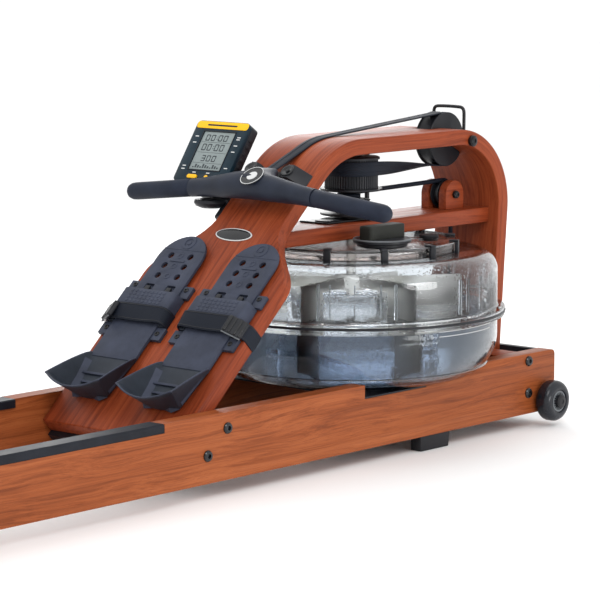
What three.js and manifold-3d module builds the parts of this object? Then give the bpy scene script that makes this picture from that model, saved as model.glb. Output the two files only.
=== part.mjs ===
// Water-resistance rowing machine with wooden rails and a bent wooden arch.
//
// Units are millimetres and +Z is up. X runs along the rails and grows towards the water
// tank, the rower sits facing +X, and "left" is the rower's left, +Y. The origin is on the
// floor, midway between the rear end of the rails and the front of the transport wheels.

import * as THREE from "three";
import { mergeVertices } from "three/addons/utils/BufferGeometryUtils.js";
import Module from "manifold-3d";

const wasm = await Module();
wasm.setup();

// ---------------------------------------------------------------------------------------
// Driving dimensions
// ---------------------------------------------------------------------------------------

const GAP = 0.3;                  // clearance between two pieces that touch
const RUN = 0.3;                  // radial clearance of a part that turns on a pin
const WRAP_GAP = 0.8;             // room for the straight runs of a belt wrapped on a pulley
const DEG = Math.PI / 180;
const SIDES = { right: -1, left: 1 };

const RAIL = { rear: -1060, front: 1052, inner: 153, outer: 183, bottom: 25, top: 132 };
const RAIL_NOSE = 9;              // rounding of a rail's top front corner
const TRACK = { rear: -1050, front: 61, inner: 149, depth: 14, bevel: 2 };
const FOOT_HEIGHT = RAIL.bottom - GAP;
const FRONT_FOOT = { rear: 676, front: 755, width: 22, draft: 4 };
const REAR_FOOT = { rear: -1010, front: -940 };
const PANEL = { rear: 16, front: 12 };     // thickness of the panels between the rails
const POST_BLOCK = { rear: 944, front: 1002, slotEnd: 990, slotHalf: 11, pin: 30 };
const FOOT_BLOCK = { lower: -500, upper: -398, depth: 30 };   // behind the footboard

const TANK_X = 708;               // the tank's vertical axis
const TANK_R = 252;
const TANK_WALL = 4;
const TANK_FLANGE = 265;
const TANK_SEGMENTS = 48;
const LOWER = { bottom: 112.3, corner: 72, flange: 218.4, rim: 224 };
const UPPER = { rim: 226.6, flange: 232, corner: 32, top: 328, mouth: 172 };
const LID = { radius: 182, bottom: 328.3, plate: 340, top: 345, boss: 22, bossTop: 349 };
const SHAFT_R = 8;
const TRAY_HALF = 177;

const RECESS = { rear: 530, front: 690, floor: 109 };   // seat of the tray in each rail
const SADDLE_GAP = 2;             // room between the bowl and the hollow cut for it

const BOARD = {
  thickness: 27,
  slope: 43 * DEG,
  foot: new THREE.Vector2(480, 425),       // a point on the sloping front face
  topZ: 524,
  halfTop: 72.5,
  halfFoot: 152.4,
  lowerEnd: -491,                          // distance down the slope from the point above
  bendRear: 165,
  bendFront: 138,
  frontCentreX: 918.5,
  postLean: 4.3 * DEG,
  postFootZ: 60,
};

const BEAM = { bottom: 352.5, top: 379, half: 52.5, front: 1026.8 };

const DRUM = { radius: 46, bottom: 433, top: 483, lip: 3, flange: 54, spool: 16 };
const HOUSING = {
  foot: 30, cap: 54, neck: 15, top: 408, plate: { rear: 98, front: 70, half: 32 },
};
const BELT = { width: 22, thickness: 2, drumZ: 468, flatFrom: 0.9 };
const BELT_PULLEY = { x: 948, z: 503, hub: 45, flange: 48, half: 17 };
const AXLE_R = 5;

const CORD_R = 4;                 // the bungee cord
const CORD_PULLEY = { x: 958, z: 404.6, hub: 19.2, flange: 25, half: 9.5 };
const CORD_RUN = CORD_PULLEY.hub + WRAP_GAP + CORD_R;
const BASE_PULLEY_Z = 62;
const SPOOL_Z = 421;
const TIE_ROD = { x: TANK_X + 83, y: 35, radius: 4.3 };
const EAR = { half: 25, inner: 12, outer: 28 };   // wooden brackets of the cord pulley
const GUARD = { x: 975, half: 34, foot: 513.6, top: 559, bend: 8, radius: 3 };

const HANDLE = { x: 455.5, z: 455.5, half: 291, hub: 137, gripR: 15, barR: 10, core: 12 };
const HANDLE_DROOP = 6.2 * DEG;            // each half of the bar slopes down to its end
const HANDLE_SWEEP = 1.5 * DEG;            // and reaches a little forward
const REST = { lower: 36, upper: 64, half: 72, horn: 52, inner: 30, trough: 24, top: 27 };
const NOSE = new THREE.Vector2(503, 478);  // where the belt meets the handle

const MONITOR = { width: 121, height: 119, front: 8, back: 16, tilt: 55.8 * DEG };
const MONITOR_FOOT = new THREE.Vector3(476.5, 142.5, 449.8);
const MONITOR_PIN = { down: 24, off: -14, radius: 6 };
const KNUCKLE = { x: 478, y: 111, radius: 31, bottom: 408, top: 424 };

const FOOT = { right: -77, left: 84, half: 50, bed: 46, floor: 4, plate: 5 };
const SLIDE_TOP = -93;
const TAB_TOP = 7;
const SOLE_HOLES = { rows: [-137, -159, -181], across: 22, radius: 6 };
const CUP = { start: -362, end: -452, half: 60, height: 60, wall: 4 };
const TABS = { rows: [-221, -310], length: 25, reach: 70 };
const PAD = { upper: -222, lower: -259, foot: 63, crown: 60, top: 23, thickness: 4 };
const STRAP = { upper: -252, lower: -284, foot: 66, crown: 62, top: 25, thickness: 4 };

const WHEEL = { x: 1024, z: 44.6, radius: 36, inner: 184.5, width: 32, crown: 12 };

const SEAT_X = -772;
const ROLLER = { radius: 24, width: 18, x: 90, y: 157 };
const SEAT = { plate: 184, plateTop: 190, top: 250, halfX: 125, halfY: 150 };

// ---------------------------------------------------------------------------------------
// Materials
// ---------------------------------------------------------------------------------------

function finish(color, roughness, metalness = 0, opacity = 1) {
  const transparent = opacity < 1;
  return () => new THREE.MeshStandardMaterial({
    color, roughness, metalness, opacity, transparent,
  });
}

const FINISH = {
  railWood: finish(0x9c5228, 0.42),
  archWood: finish(0x97401f, 0.32),
  blackPlastic: finish(0x1c1f24, 0.5),
  footPlastic: finish(0x333a47, 0.6),
  blackRubber: finish(0x17181b, 0.85),
  gripFoam: finish(0x23262d, 0.8),
  blackSteel: finish(0x15161a, 0.4, 0.7),
  brightSteel: finish(0xb9bcc0, 0.25, 1),
  webbing: finish(0x1b1d22, 0.9),
  smokedPolycarbonate: finish(0x5d6870, 0.08, 0, 0.4),
  clearPolycarbonate: finish(0xb8c0c4, 0.1, 0, 0.5),
  seatVinyl: finish(0x1a1b1e, 0.7),
  monitorFace: finish(0x14303c, 0.35),
  yellowPlastic: finish(0xf2b705, 0.45),
};

// ---------------------------------------------------------------------------------------
// Solid building: every helper gives a closed geometry
// ---------------------------------------------------------------------------------------

function toSolid(geometry) {
  const bare = geometry.clone();
  bare.deleteAttribute("normal");
  bare.deleteAttribute("uv");
  const merged = mergeVertices(bare, 1e-4);
  return new wasm.Manifold(new wasm.Mesh({
    numProp: 3,
    vertProperties: new Float32Array(merged.attributes.position.array),
    triVerts: new Uint32Array(merged.index.array),
  }));
}

function toGeometry(solid) {
  const mesh = solid.getMesh();
  const geometry = new THREE.BufferGeometry();
  geometry.setAttribute("position", new THREE.BufferAttribute(mesh.vertProperties, 3));
  geometry.setIndex(new THREE.BufferAttribute(mesh.triVerts, 1));
  geometry.computeVertexNormals();
  return geometry;
}

function join(...geometries) {
  return toGeometry(geometries.map(toSolid).reduce((whole, next) => whole.add(next)));
}

function cut(geometry, ...tools) {
  return toGeometry(tools.map(toSolid).reduce((rest, tool) => rest.subtract(tool),
    toSolid(geometry)));
}

function overlap(first, second) {
  return toGeometry(toSolid(first).intersect(toSolid(second)));
}

function block(x0, x1, y0, y1, z0, z1) {
  const geometry = new THREE.BoxGeometry(x1 - x0, y1 - y0, z1 - z0);
  return geometry.translate((x0 + x1) / 2, (y0 + y1) / 2, (z0 + z1) / 2);
}

function rodX(radius, x0, x1, y, z, segments = 20) {
  const geometry = new THREE.CylinderGeometry(radius, radius, x1 - x0, segments);
  return geometry.rotateZ(-Math.PI / 2).translate((x0 + x1) / 2, y, z);
}

function rodY(radius, y0, y1, x, z, segments = 20) {
  const geometry = new THREE.CylinderGeometry(radius, radius, y1 - y0, segments);
  return geometry.translate(x, (y0 + y1) / 2, z);
}

function rodZ(radius, z0, z1, x, y, segments = 20) {
  const geometry = new THREE.CylinderGeometry(radius, radius, z1 - z0, segments);
  return geometry.rotateX(Math.PI / 2).translate(x, y, (z0 + z1) / 2);
}

// A closed profile of [radius, height] pairs turned about Z, or about Y with turnY.
function turnZ(profile, x, y, segments) {
  const points = profile.map(([r, z]) => new THREE.Vector2(r, z));
  const geometry = new THREE.LatheGeometry(points, segments);
  return geometry.rotateX(Math.PI / 2).translate(x, y, 0);
}

function turnY(profile, x, z, segments) {
  const points = profile.map(([r, y]) => new THREE.Vector2(r, y));
  return new THREE.LatheGeometry(points, segments).translate(x, 0, z);
}

// An outline in the XZ plane, given depth from y0 to y1.
function sideways(shape, y0, y1, curveSegments = 10) {
  const geometry = new THREE.ExtrudeGeometry(shape, {
    depth: y1 - y0, bevelEnabled: false, curveSegments,
  });
  return geometry.rotateX(Math.PI / 2).translate(0, y1, 0);
}

// An outline in the YZ plane, given length from x0 to x1.
function lengthways(shape, x0, x1) {
  const geometry = new THREE.ExtrudeGeometry(shape, {
    depth: x1 - x0, bevelEnabled: false, curveSegments: 6,
  });
  return geometry.rotateX(Math.PI / 2).rotateZ(Math.PI / 2).translate(x0, 0, 0);
}

// An outline in the XY plane, given height from z0 to z1.
function upwards(shape, z0, z1, curveSegments = 10) {
  const geometry = new THREE.ExtrudeGeometry(shape, {
    depth: z1 - z0, bevelEnabled: false, curveSegments,
  });
  return geometry.translate(0, 0, z0);
}

function polygon(points) {
  return new THREE.Shape(points.map(([x, y]) => new THREE.Vector2(x, y)));
}

function roundedRectangle(x0, x1, y0, y1, r) {
  const shape = new THREE.Shape();
  shape.moveTo(x0 + r, y0);
  shape.lineTo(x1 - r, y0);
  shape.absarc(x1 - r, y0 + r, r, -Math.PI / 2, 0);
  shape.lineTo(x1, y1 - r);
  shape.absarc(x1 - r, y1 - r, r, 0, Math.PI / 2);
  shape.lineTo(x0 + r, y1);
  shape.absarc(x0 + r, y1 - r, r, Math.PI / 2, Math.PI);
  shape.lineTo(x0, y0 + r);
  shape.absarc(x0 + r, y0 + r, r, Math.PI, 1.5 * Math.PI);
  return shape;
}

// Points of a quarter turn or any other arc, both ends included.
function arcPoints(cx, cy, r, from, to, steps) {
  return Array.from({ length: steps + 1 }, (_, i) => {
    const angle = from + (to - from) * i / steps;
    return [cx + r * Math.cos(angle), cy + r * Math.sin(angle)];
  });
}

// A flat strap that follows frames of a point, a width direction and a thickness direction.
function ribbon(frames, width, thickness) {
  const corners = [[-1, -1], [1, -1], [1, 1], [-1, 1]];
  const position = [];
  for (const { point, across, through } of frames) {
    for (const [a, t] of corners) {
      const corner = point.clone();
      corner.addScaledVector(across, a * width / 2);
      corner.addScaledVector(through, t * thickness / 2);
      position.push(corner.x, corner.y, corner.z);
    }
  }
  const index = [0, 2, 1, 0, 3, 2];
  for (let i = 0; i < frames.length - 1; i += 1) {
    for (let k = 0; k < 4; k += 1) {
      const a = 4 * i + k;
      const b = 4 * i + (k + 1) % 4;
      index.push(a, b, b + 4, a, b + 4, a + 4);
    }
  }
  const end = 4 * (frames.length - 1);
  index.push(end, end + 1, end + 2, end, end + 2, end + 3);
  const geometry = new THREE.BufferGeometry();
  geometry.setAttribute("position", new THREE.Float32BufferAttribute(position, 3));
  geometry.setIndex(index);
  geometry.computeVertexNormals();
  return geometry;
}

// A round bar through a list of points, with one radius at each point.
function roundBar(points, radii, sides) {
  const position = [];
  let side = new THREE.Vector3(0, 0, 1);
  points.forEach((point, i) => {
    const before = points[Math.max(i - 1, 0)];
    const after = points[Math.min(i + 1, points.length - 1)];
    const along = after.clone().sub(before).normalize();
    side = side.clone().addScaledVector(along, -side.dot(along)).normalize();
    const other = along.clone().cross(side);
    for (let k = 0; k < sides; k += 1) {
      const angle = 2 * Math.PI * k / sides;
      const corner = point.clone();
      corner.addScaledVector(side, radii[i] * Math.cos(angle));
      corner.addScaledVector(other, radii[i] * Math.sin(angle));
      position.push(corner.x, corner.y, corner.z);
    }
  });
  const index = [];
  for (let i = 0; i < points.length - 1; i += 1) {
    for (let k = 0; k < sides; k += 1) {
      const a = sides * i + k;
      const b = sides * i + (k + 1) % sides;
      index.push(a, b, b + sides, a, b + sides, a + sides);
    }
  }
  const end = sides * (points.length - 1);
  for (let k = 1; k < sides - 1; k += 1) {
    index.push(0, k + 1, k);
    index.push(end, end + k, end + k + 1);
  }
  const geometry = new THREE.BufferGeometry();
  geometry.setAttribute("position", new THREE.Float32BufferAttribute(position, 3));
  geometry.setIndex(index);
  geometry.computeVertexNormals();
  return geometry;
}

// ---------------------------------------------------------------------------------------
// The assembly, and the sloping frame that the footboard's pieces stand in
// ---------------------------------------------------------------------------------------

const rower = new THREE.Group();
rower.name = "rowing_machine";

// Local X runs up the footboard's front face, local Z stands off that face.
const slope = new THREE.Group();
slope.position.set(BOARD.foot.x, 0, BOARD.foot.y);
slope.rotation.y = -BOARD.slope;
rower.add(slope);

function add(name, geometry, material, parent = rower) {
  const mesh = new THREE.Mesh(geometry, material());
  mesh.name = name;
  parent.add(mesh);
  return mesh;
}

// The point at a distance up the slope and a distance off the face, in the row's X and Z.
function onSlope(up, off) {
  const cos = Math.cos(BOARD.slope);
  const sin = Math.sin(BOARD.slope);
  return new THREE.Vector2(
    BOARD.foot.x + up * cos - off * sin,
    BOARD.foot.y + up * sin + off * cos,
  );
}

// ---------------------------------------------------------------------------------------
// Rails, tracks, cross members and feet
// ---------------------------------------------------------------------------------------

function rail(side) {
  const { rear, front, inner, outer, bottom, top } = RAIL;
  const shelf = top - TRACK.depth - GAP;
  const shape = new THREE.Shape();
  shape.moveTo(rear, bottom);
  shape.lineTo(front, bottom);
  shape.lineTo(front, top - RAIL_NOSE);
  shape.absarc(front - RAIL_NOSE, top - RAIL_NOSE, RAIL_NOSE, 0, Math.PI / 2);
  shape.lineTo(RECESS.front, top);
  shape.lineTo(RECESS.front, RECESS.floor);
  shape.lineTo(RECESS.rear, RECESS.floor);
  shape.lineTo(RECESS.rear, top);
  shape.lineTo(TRACK.front + GAP, top);
  shape.lineTo(TRACK.front + GAP, shelf);
  shape.lineTo(TRACK.rear - GAP, shelf);
  shape.lineTo(TRACK.rear - GAP, top);
  shape.lineTo(rear, top);
  const y0 = side > 0 ? inner : -outer;
  const board = sideways(shape, y0, y0 + outer - inner, 4);
  const axleHole = rodY(AXLE_R + RUN, -outer - 1, outer + 1, WHEEL.x, WHEEL.z);
  return cut(board, axleHole, bowlHollow());
}

// What the round bowl of the tank needs cleared below it and beside it.
function bowlHollow() {
  const { bottom, corner } = LOWER;
  return turnZ([
    [0, bottom - SADDLE_GAP],
    ...arcPoints(TANK_R - corner, bottom + corner, corner + SADDLE_GAP, -Math.PI / 2, 0, 6),
    [0, bottom + corner],
  ], TANK_X, 0, TANK_SEGMENTS);
}

function track(side) {
  const { inner, depth, bevel } = TRACK;
  const low = RAIL.top - depth;
  const profile = [
    [inner, low], [RAIL.outer, low], [RAIL.outer, RAIL.top - bevel],
    [RAIL.outer - bevel, RAIL.top], [inner + bevel, RAIL.top], [inner, RAIL.top - bevel],
  ];
  const shape = polygon(profile.map(([y, z]) => [side * y, z]));
  return lengthways(shape, TRACK.rear, TRACK.front);
}

function crossPanel(x0, x1, top) {
  const half = RAIL.inner - GAP;
  return block(x0, x1, -half, half, RAIL.bottom + 2, top);
}

// The block that the post stands in is slotted from behind for the lower cord pulley.
function postBaseBlock() {
  const half = RAIL.inner - GAP;
  const { rear, front, slotEnd, slotHalf, pin } = POST_BLOCK;
  const body = block(rear, front, -half, half, RAIL.bottom + 2, RAIL.top - 4);
  const slot = block(rear - 1, slotEnd, -slotHalf, slotHalf, 0, RAIL.top);
  const pinHole = rodY(AXLE_R + RUN, -pin - 1, pin + 1, CORD_PULLEY.x, BASE_PULLEY_Z);
  return cut(body, slot, pinHole);
}

function footboardCrossBlock() {
  const half = RAIL.inner - GAP;
  const back = -BOARD.thickness;
  const { lower, upper, depth } = FOOT_BLOCK;
  return block(lower, upper, -half, half, back - depth, back - GAP);
}

function frontFoot(side) {
  const { rear, front, width, draft } = FRONT_FOOT;
  const y0 = side > 0 ? RAIL.outer - width : -RAIL.outer;
  return sideways(polygon([
    [rear, 0], [front - draft, 0], [front, FOOT_HEIGHT], [rear, FOOT_HEIGHT],
  ]), y0, y0 + width);
}

for (const [name, side] of Object.entries(SIDES)) {
  add(`rail_${name}`, rail(side), FINISH.railWood);
  add(`track_${name}`, track(side), FINISH.blackPlastic);
  add(`foot_front_${name}`, frontFoot(side), FINISH.blackRubber);
}
add("foot_rear_bar", block(REAR_FOOT.rear, REAR_FOOT.front, -RAIL.outer, RAIL.outer,
  0, FOOT_HEIGHT), FINISH.blackRubber);
add("rear_cross_panel", crossPanel(RAIL.rear + 2, RAIL.rear + 2 + PANEL.rear,
  RAIL.top - TRACK.depth - 1), FINISH.blackPlastic);
add("front_cross_panel", crossPanel(RAIL.front - 1 - PANEL.front, RAIL.front - 1,
  RAIL.top - 2), FINISH.blackPlastic);
add("post_base_block", postBaseBlock(), FINISH.blackPlastic);
add("footboard_cross_block", footboardCrossBlock(), FINISH.blackPlastic, slope);

// ---------------------------------------------------------------------------------------
// The bent board: footboard, top and post in one piece
// ---------------------------------------------------------------------------------------

const rearBend = {
  x: onSlope((BOARD.topZ - BOARD.foot.y) / Math.sin(BOARD.slope), 0).x
    + BOARD.bendRear * Math.tan(BOARD.slope / 2),
  z: BOARD.topZ - BOARD.bendRear,
};
const frontBend = { x: BOARD.frontCentreX, z: BOARD.topZ - BOARD.bendFront };

// Both faces of the board, from the lower end of the footboard to the foot of the post.
function boardFace(depth, steps) {
  const lean = BOARD.postLean;
  const rearR = BOARD.bendRear - depth;
  const frontR = BOARD.bendFront - depth;
  const end = onSlope(BOARD.lowerEnd, -depth);
  const last = arcPoints(frontBend.x, frontBend.z, frontR, -lean, -lean, 1)[0];
  const drop = last[1] - BOARD.postFootZ;
  return [
    [end.x, end.y],
    ...arcPoints(rearBend.x, rearBend.z, rearR, Math.PI / 2 + BOARD.slope, Math.PI / 2, steps),
    ...arcPoints(frontBend.x, frontBend.z, frontR, Math.PI / 2, -lean, 2 * steps),
    [last[0] - drop * Math.tan(lean), BOARD.postFootZ],
  ];
}

// The footboard's width: narrow at the top, then flaring out to fill the gap between rails.
function footboardOutline() {
  const { halfTop, halfFoot } = BOARD;
  const shape = new THREE.Shape();
  shape.moveTo(BOARD.lowerEnd - 1, -halfFoot);
  shape.lineTo(-190, -halfFoot);
  shape.bezierCurveTo(-130, -halfFoot, -110, -halfTop, -35, -halfTop);
  shape.lineTo(200, -halfTop);
  shape.lineTo(200, halfTop);
  shape.lineTo(-35, halfTop);
  shape.bezierCurveTo(-110, halfTop, -130, halfFoot, -190, halfFoot);
  shape.lineTo(BOARD.lowerEnd - 1, halfFoot);
  return shape;
}

function archBoard() {
  const outline = polygon([...boardFace(0, 9), ...boardFace(BOARD.thickness, 9).reverse()]);
  const bent = sideways(outline, -BOARD.halfFoot, BOARD.halfFoot);
  const flare = upwards(footboardOutline(), -60, 20, 8);
  flare.rotateY(-BOARD.slope).translate(BOARD.foot.x, 0, BOARD.foot.y);
  const narrow = block(520, 1100, -BOARD.halfTop, BOARD.halfTop, 0, 600);
  const board = overlap(bent, join(flare, narrow));
  const slotHalf = BELT_PULLEY.half + 3;
  const slot = block(BELT_PULLEY.x - 55, BELT_PULLEY.x + 58, -slotHalf, slotHalf, 440, 560);
  const pin = rodY(AXLE_R + RUN, -80, 80, BELT_PULLEY.x, BELT_PULLEY.z);
  return cut(board, slot, pin);
}

function crossBeam() {
  const low = onSlope((BEAM.bottom - BOARD.foot.y) / Math.sin(BOARD.slope), 0).x;
  const high = onSlope((BEAM.top - BOARD.foot.y) / Math.sin(BOARD.slope), 0).x;
  const behind = (BOARD.thickness + GAP) / Math.sin(BOARD.slope);
  const shape = polygon([
    [low + behind, BEAM.bottom], [BEAM.front, BEAM.bottom],
    [BEAM.front, BEAM.top], [high + behind, BEAM.top],
  ]);
  const beam = sideways(shape, -BEAM.half, BEAM.half);
  const shaftHole = rodZ(12, BEAM.bottom - 1, BEAM.top + 1, TANK_X, 0);
  const cordX = CORD_PULLEY.x + CORD_RUN;
  const cordHole = rodZ(8, BEAM.bottom - 1, BEAM.top + 1, cordX, 0, 12);
  return cut(beam, shaftHole, cordHole);
}

add("arch_board", archBoard(), FINISH.archWood);
add("arch_cross_beam", crossBeam(), FINISH.archWood);

// ---------------------------------------------------------------------------------------
// Water tank
// ---------------------------------------------------------------------------------------

function tankLowerShell() {
  const { bottom, corner, flange, rim } = LOWER;
  const cornerR = TANK_R - corner;
  const inner = TANK_R - TANK_WALL;
  const turn = bottom + corner;
  return turnZ([
    [0, bottom],
    ...arcPoints(cornerR, turn, corner, -Math.PI / 2, 0, 6),
    [TANK_R, flange], [TANK_FLANGE, flange], [TANK_FLANGE, rim], [inner, rim],
    ...arcPoints(cornerR, turn, corner - TANK_WALL, 0, -Math.PI / 2, 6),
    [0, bottom + TANK_WALL],
  ], TANK_X, 0, TANK_SEGMENTS);
}

function tankUpperShell() {
  const { rim, flange, corner, top, mouth } = UPPER;
  const cornerR = TANK_R - corner;
  const inner = TANK_R - TANK_WALL;
  const turn = top - corner;
  return turnZ([
    [inner, rim], [TANK_FLANGE, rim], [TANK_FLANGE, flange], [TANK_R, flange],
    ...arcPoints(cornerR, turn, corner, 0, Math.PI / 2, 4),
    [mouth, top], [mouth, top - TANK_WALL],
    ...arcPoints(cornerR, turn, corner - TANK_WALL, Math.PI / 2, 0, 4),
    [inner, rim],
  ], TANK_X, 0, TANK_SEGMENTS);
}

function tankGasket() {
  const low = LOWER.rim + GAP;
  const high = UPPER.rim - GAP;
  return turnZ([[250, low], [261, low], [261, high], [250, high], [250, low]],
    TANK_X, 0, TANK_SEGMENTS);
}

const PLUG = { x: TANK_X + 95, y: -95, stem: 12, head: 17 };

function tankLid() {
  const { radius, bottom, plate, top, boss, bossTop } = LID;
  const bore = SHAFT_R + RUN;
  const skirt = radius - 8;
  const disc = turnZ([
    [bore, plate], [skirt, plate], [skirt, bottom], [radius, bottom],
    [radius, top - 3], [radius - 3, top],
    [boss, top], [boss, bossTop], [bore, bossTop], [bore, plate],
  ], TANK_X, 0, TANK_SEGMENTS);
  return cut(disc, rodZ(PLUG.stem + RUN, bottom - 1, top + 1, PLUG.x, PLUG.y, 16));
}

function fillerPlug() {
  const seat = LID.top + GAP;
  return turnZ([
    [0, LID.bottom - 4], [PLUG.stem, LID.bottom - 4], [PLUG.stem, seat],
    [PLUG.head, seat], [PLUG.head, seat + 6], [0, seat + 6],
  ], PLUG.x, PLUG.y, 16);
}

const STORE = { radius: 95, top: 235, wall: 3 };

function innerTank() {
  const floor = LOWER.bottom + TANK_WALL + GAP;
  const { radius, top, wall } = STORE;
  return turnZ([
    [0, floor], [radius, floor], [radius, top],
    [radius - wall, top], [radius - wall, floor + wall], [0, floor + wall],
  ], TANK_X, 0, 32);
}

const PADDLE = { count: 6, inner: 112, outer: 190, foot: 150, arm: 262, top: 284, half: 2 };

function impeller() {
  const { count, inner, outer, foot, arm, top, half } = PADDLE;
  const blade = sideways(polygon([
    [0, arm], [inner, arm], [inner, foot], [outer, foot], [outer, top], [0, top],
  ]), -half, half);
  const shaft = rodZ(SHAFT_R, arm - 20, 492, 0, 0, 24);
  const hub = rodZ(28, arm - 6, top + 6, 0, 0, 24);
  const blades = Array.from({ length: count }, (_, i) =>
    blade.clone().rotateZ(2 * Math.PI * (i + 0.25) / count));
  return join(shaft, hub, ...blades).translate(TANK_X, 0, 0);
}

const KNOB = { x: TANK_X - 52, y: -113, ring: 49, ringTop: 359, top: 382, bar: 45, half: 15 };

function adjusterKnob() {
  const low = LID.top + GAP;
  const step = KNOB.ringTop - 8;
  const dial = turnZ([
    [0, low], [KNOB.ring - 6, low], [KNOB.ring - 6, step],
    [KNOB.ring, step], [KNOB.ring, KNOB.ringTop], [0, KNOB.ringTop],
  ], KNOB.x, KNOB.y, 32);
  const outline = roundedRectangle(KNOB.x - KNOB.bar, KNOB.x + KNOB.bar,
    KNOB.y - KNOB.half, KNOB.y + KNOB.half, 8);
  return join(dial, upwards(outline, KNOB.ringTop - 2, KNOB.top, 3));
}

// The tray lies between the rails, and its rear part rests in the recess of each rail.
function tankTray() {
  const low = RECESS.floor + GAP;
  const high = LOWER.bottom - GAP;
  const between = RAIL.inner - GAP;
  const reach = TRAY_HALF;
  return join(
    block(TANK_X - reach, TANK_X + reach, -between, between, low, high),
    block(RECESS.rear + GAP, RECESS.front - GAP, -RAIL.outer, RAIL.outer, low, high),
  );
}

add("tank_support_tray", tankTray(), FINISH.blackPlastic);
add("tank_lower_shell", tankLowerShell(), FINISH.smokedPolycarbonate);
add("tank_gasket", tankGasket(), FINISH.blackRubber);
add("tank_upper_shell", tankUpperShell(), FINISH.smokedPolycarbonate);
add("tank_lid", tankLid(), FINISH.clearPolycarbonate);
add("inner_tank", innerTank(), FINISH.smokedPolycarbonate);
add("filler_plug", fillerPlug(), FINISH.blackRubber);
add("impeller", impeller(), FINISH.blackPlastic);
add("adjuster_knob", adjusterKnob(), FINISH.blackPlastic);

// ---------------------------------------------------------------------------------------
// Drive: bearing, drum, pulleys, belt and bungee cord
// ---------------------------------------------------------------------------------------

function shaftHousing() {
  const base = BEAM.top + GAP;
  const bore = SHAFT_R + RUN;
  const { foot, cap, neck, top, plate: reach } = HOUSING;
  const hub = turnZ([
    [bore, base], [foot, base], [foot, base + 8], [cap, base + 8], [cap, base + 12],
    [foot - 4, base + 16], [neck, base + 20], [neck, top], [bore, top], [bore, base],
  ], TANK_X, 0, 32);
  const plate = block(TANK_X - reach.rear, TANK_X + reach.front, -reach.half, reach.half,
    base, base + 3);
  const hole = rodZ(bore + 4, base - 1, base + 4, TANK_X, 0, 24);
  return join(hub, cut(plate, hole));
}

function beltDrum() {
  const bore = SHAFT_R + RUN;
  const { radius, bottom, top, lip, flange, spool } = DRUM;
  const low = HOUSING.top + 3;
  const rim = radius + lip;
  const collar = spool + 2;
  return turnZ([
    [bore, low], [2 * spool, low], [2 * spool, low + 3], [spool, low + 3],
    [spool, bottom - 4], [flange, bottom - 4], [flange, bottom], [radius, bottom],
    [radius, top], [rim, top], [rim, top + 3], [collar, top + 3], [collar, top + 6],
    [bore, top + 6], [bore, low],
  ], TANK_X, 0, 40);
}

function groovedPulley(x, z) {
  const { hub, flange, half } = CORD_PULLEY;
  const bore = AXLE_R + RUN;
  return turnY([
    [bore, -half], [flange, -half], [flange, -6], [hub, -4.6],
    [hub, 4.6], [flange, 6], [flange, half], [bore, half], [bore, -half],
  ], x, z, 28);
}

function beltPulley() {
  const { x, z, hub, flange, half } = BELT_PULLEY;
  const bore = AXLE_R + RUN;
  const lip = half - 2;
  return turnY([
    [bore, -half], [flange, -half], [flange, -lip], [hub, -lip],
    [hub, lip], [flange, lip], [flange, half], [bore, half], [bore, -half],
  ], x, z, 36);
}

// A pin along Y with a round head beyond each face that it passes through.
function headedPin(x, z, reach, headR, headDepth) {
  const from = reach + GAP;
  return join(
    rodY(AXLE_R, -from - 1, from + 1, x, z),
    rodY(headR, from, from + headDepth, x, z),
    rodY(headR, -from - headDepth, -from, x, z),
  );
}

function pulleyEar(side) {
  const { x, z } = CORD_PULLEY;
  const { half, inner, outer } = EAR;
  const shape = new THREE.Shape();
  shape.moveTo(x - half, BEAM.top + GAP);
  shape.lineTo(x + half, BEAM.top + GAP);
  shape.lineTo(x + half, z);
  shape.absarc(x, z, half, 0, Math.PI);
  const y0 = side > 0 ? inner : -outer;
  const ear = sideways(shape, y0, y0 + outer - inner);
  return cut(ear, rodY(AXLE_R + RUN, -outer - 1, outer + 1, x, z));
}

function guardWire() {
  const { x, half, foot, top, bend, radius } = GUARD;
  const points = [
    new THREE.Vector3(x, -half, foot),
    ...arcPoints(half - bend, top - bend, bend, 0, Math.PI / 2, 3)
      .map(([y, z]) => new THREE.Vector3(x, -y, z)),
    ...arcPoints(half - bend, top - bend, bend, Math.PI / 2, 0, 3)
      .map(([y, z]) => new THREE.Vector3(x, y, z)),
    new THREE.Vector3(x, half, foot),
  ];
  const route = new THREE.CatmullRomCurve3(points, false, "centripetal");
  const section = new THREE.Shape().absarc(0, 0, radius, 0, 2 * Math.PI);
  return new THREE.ExtrudeGeometry(section, {
    steps: 40, extrudePath: route, curveSegments: 8, bevelEnabled: false,
  });
}

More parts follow.
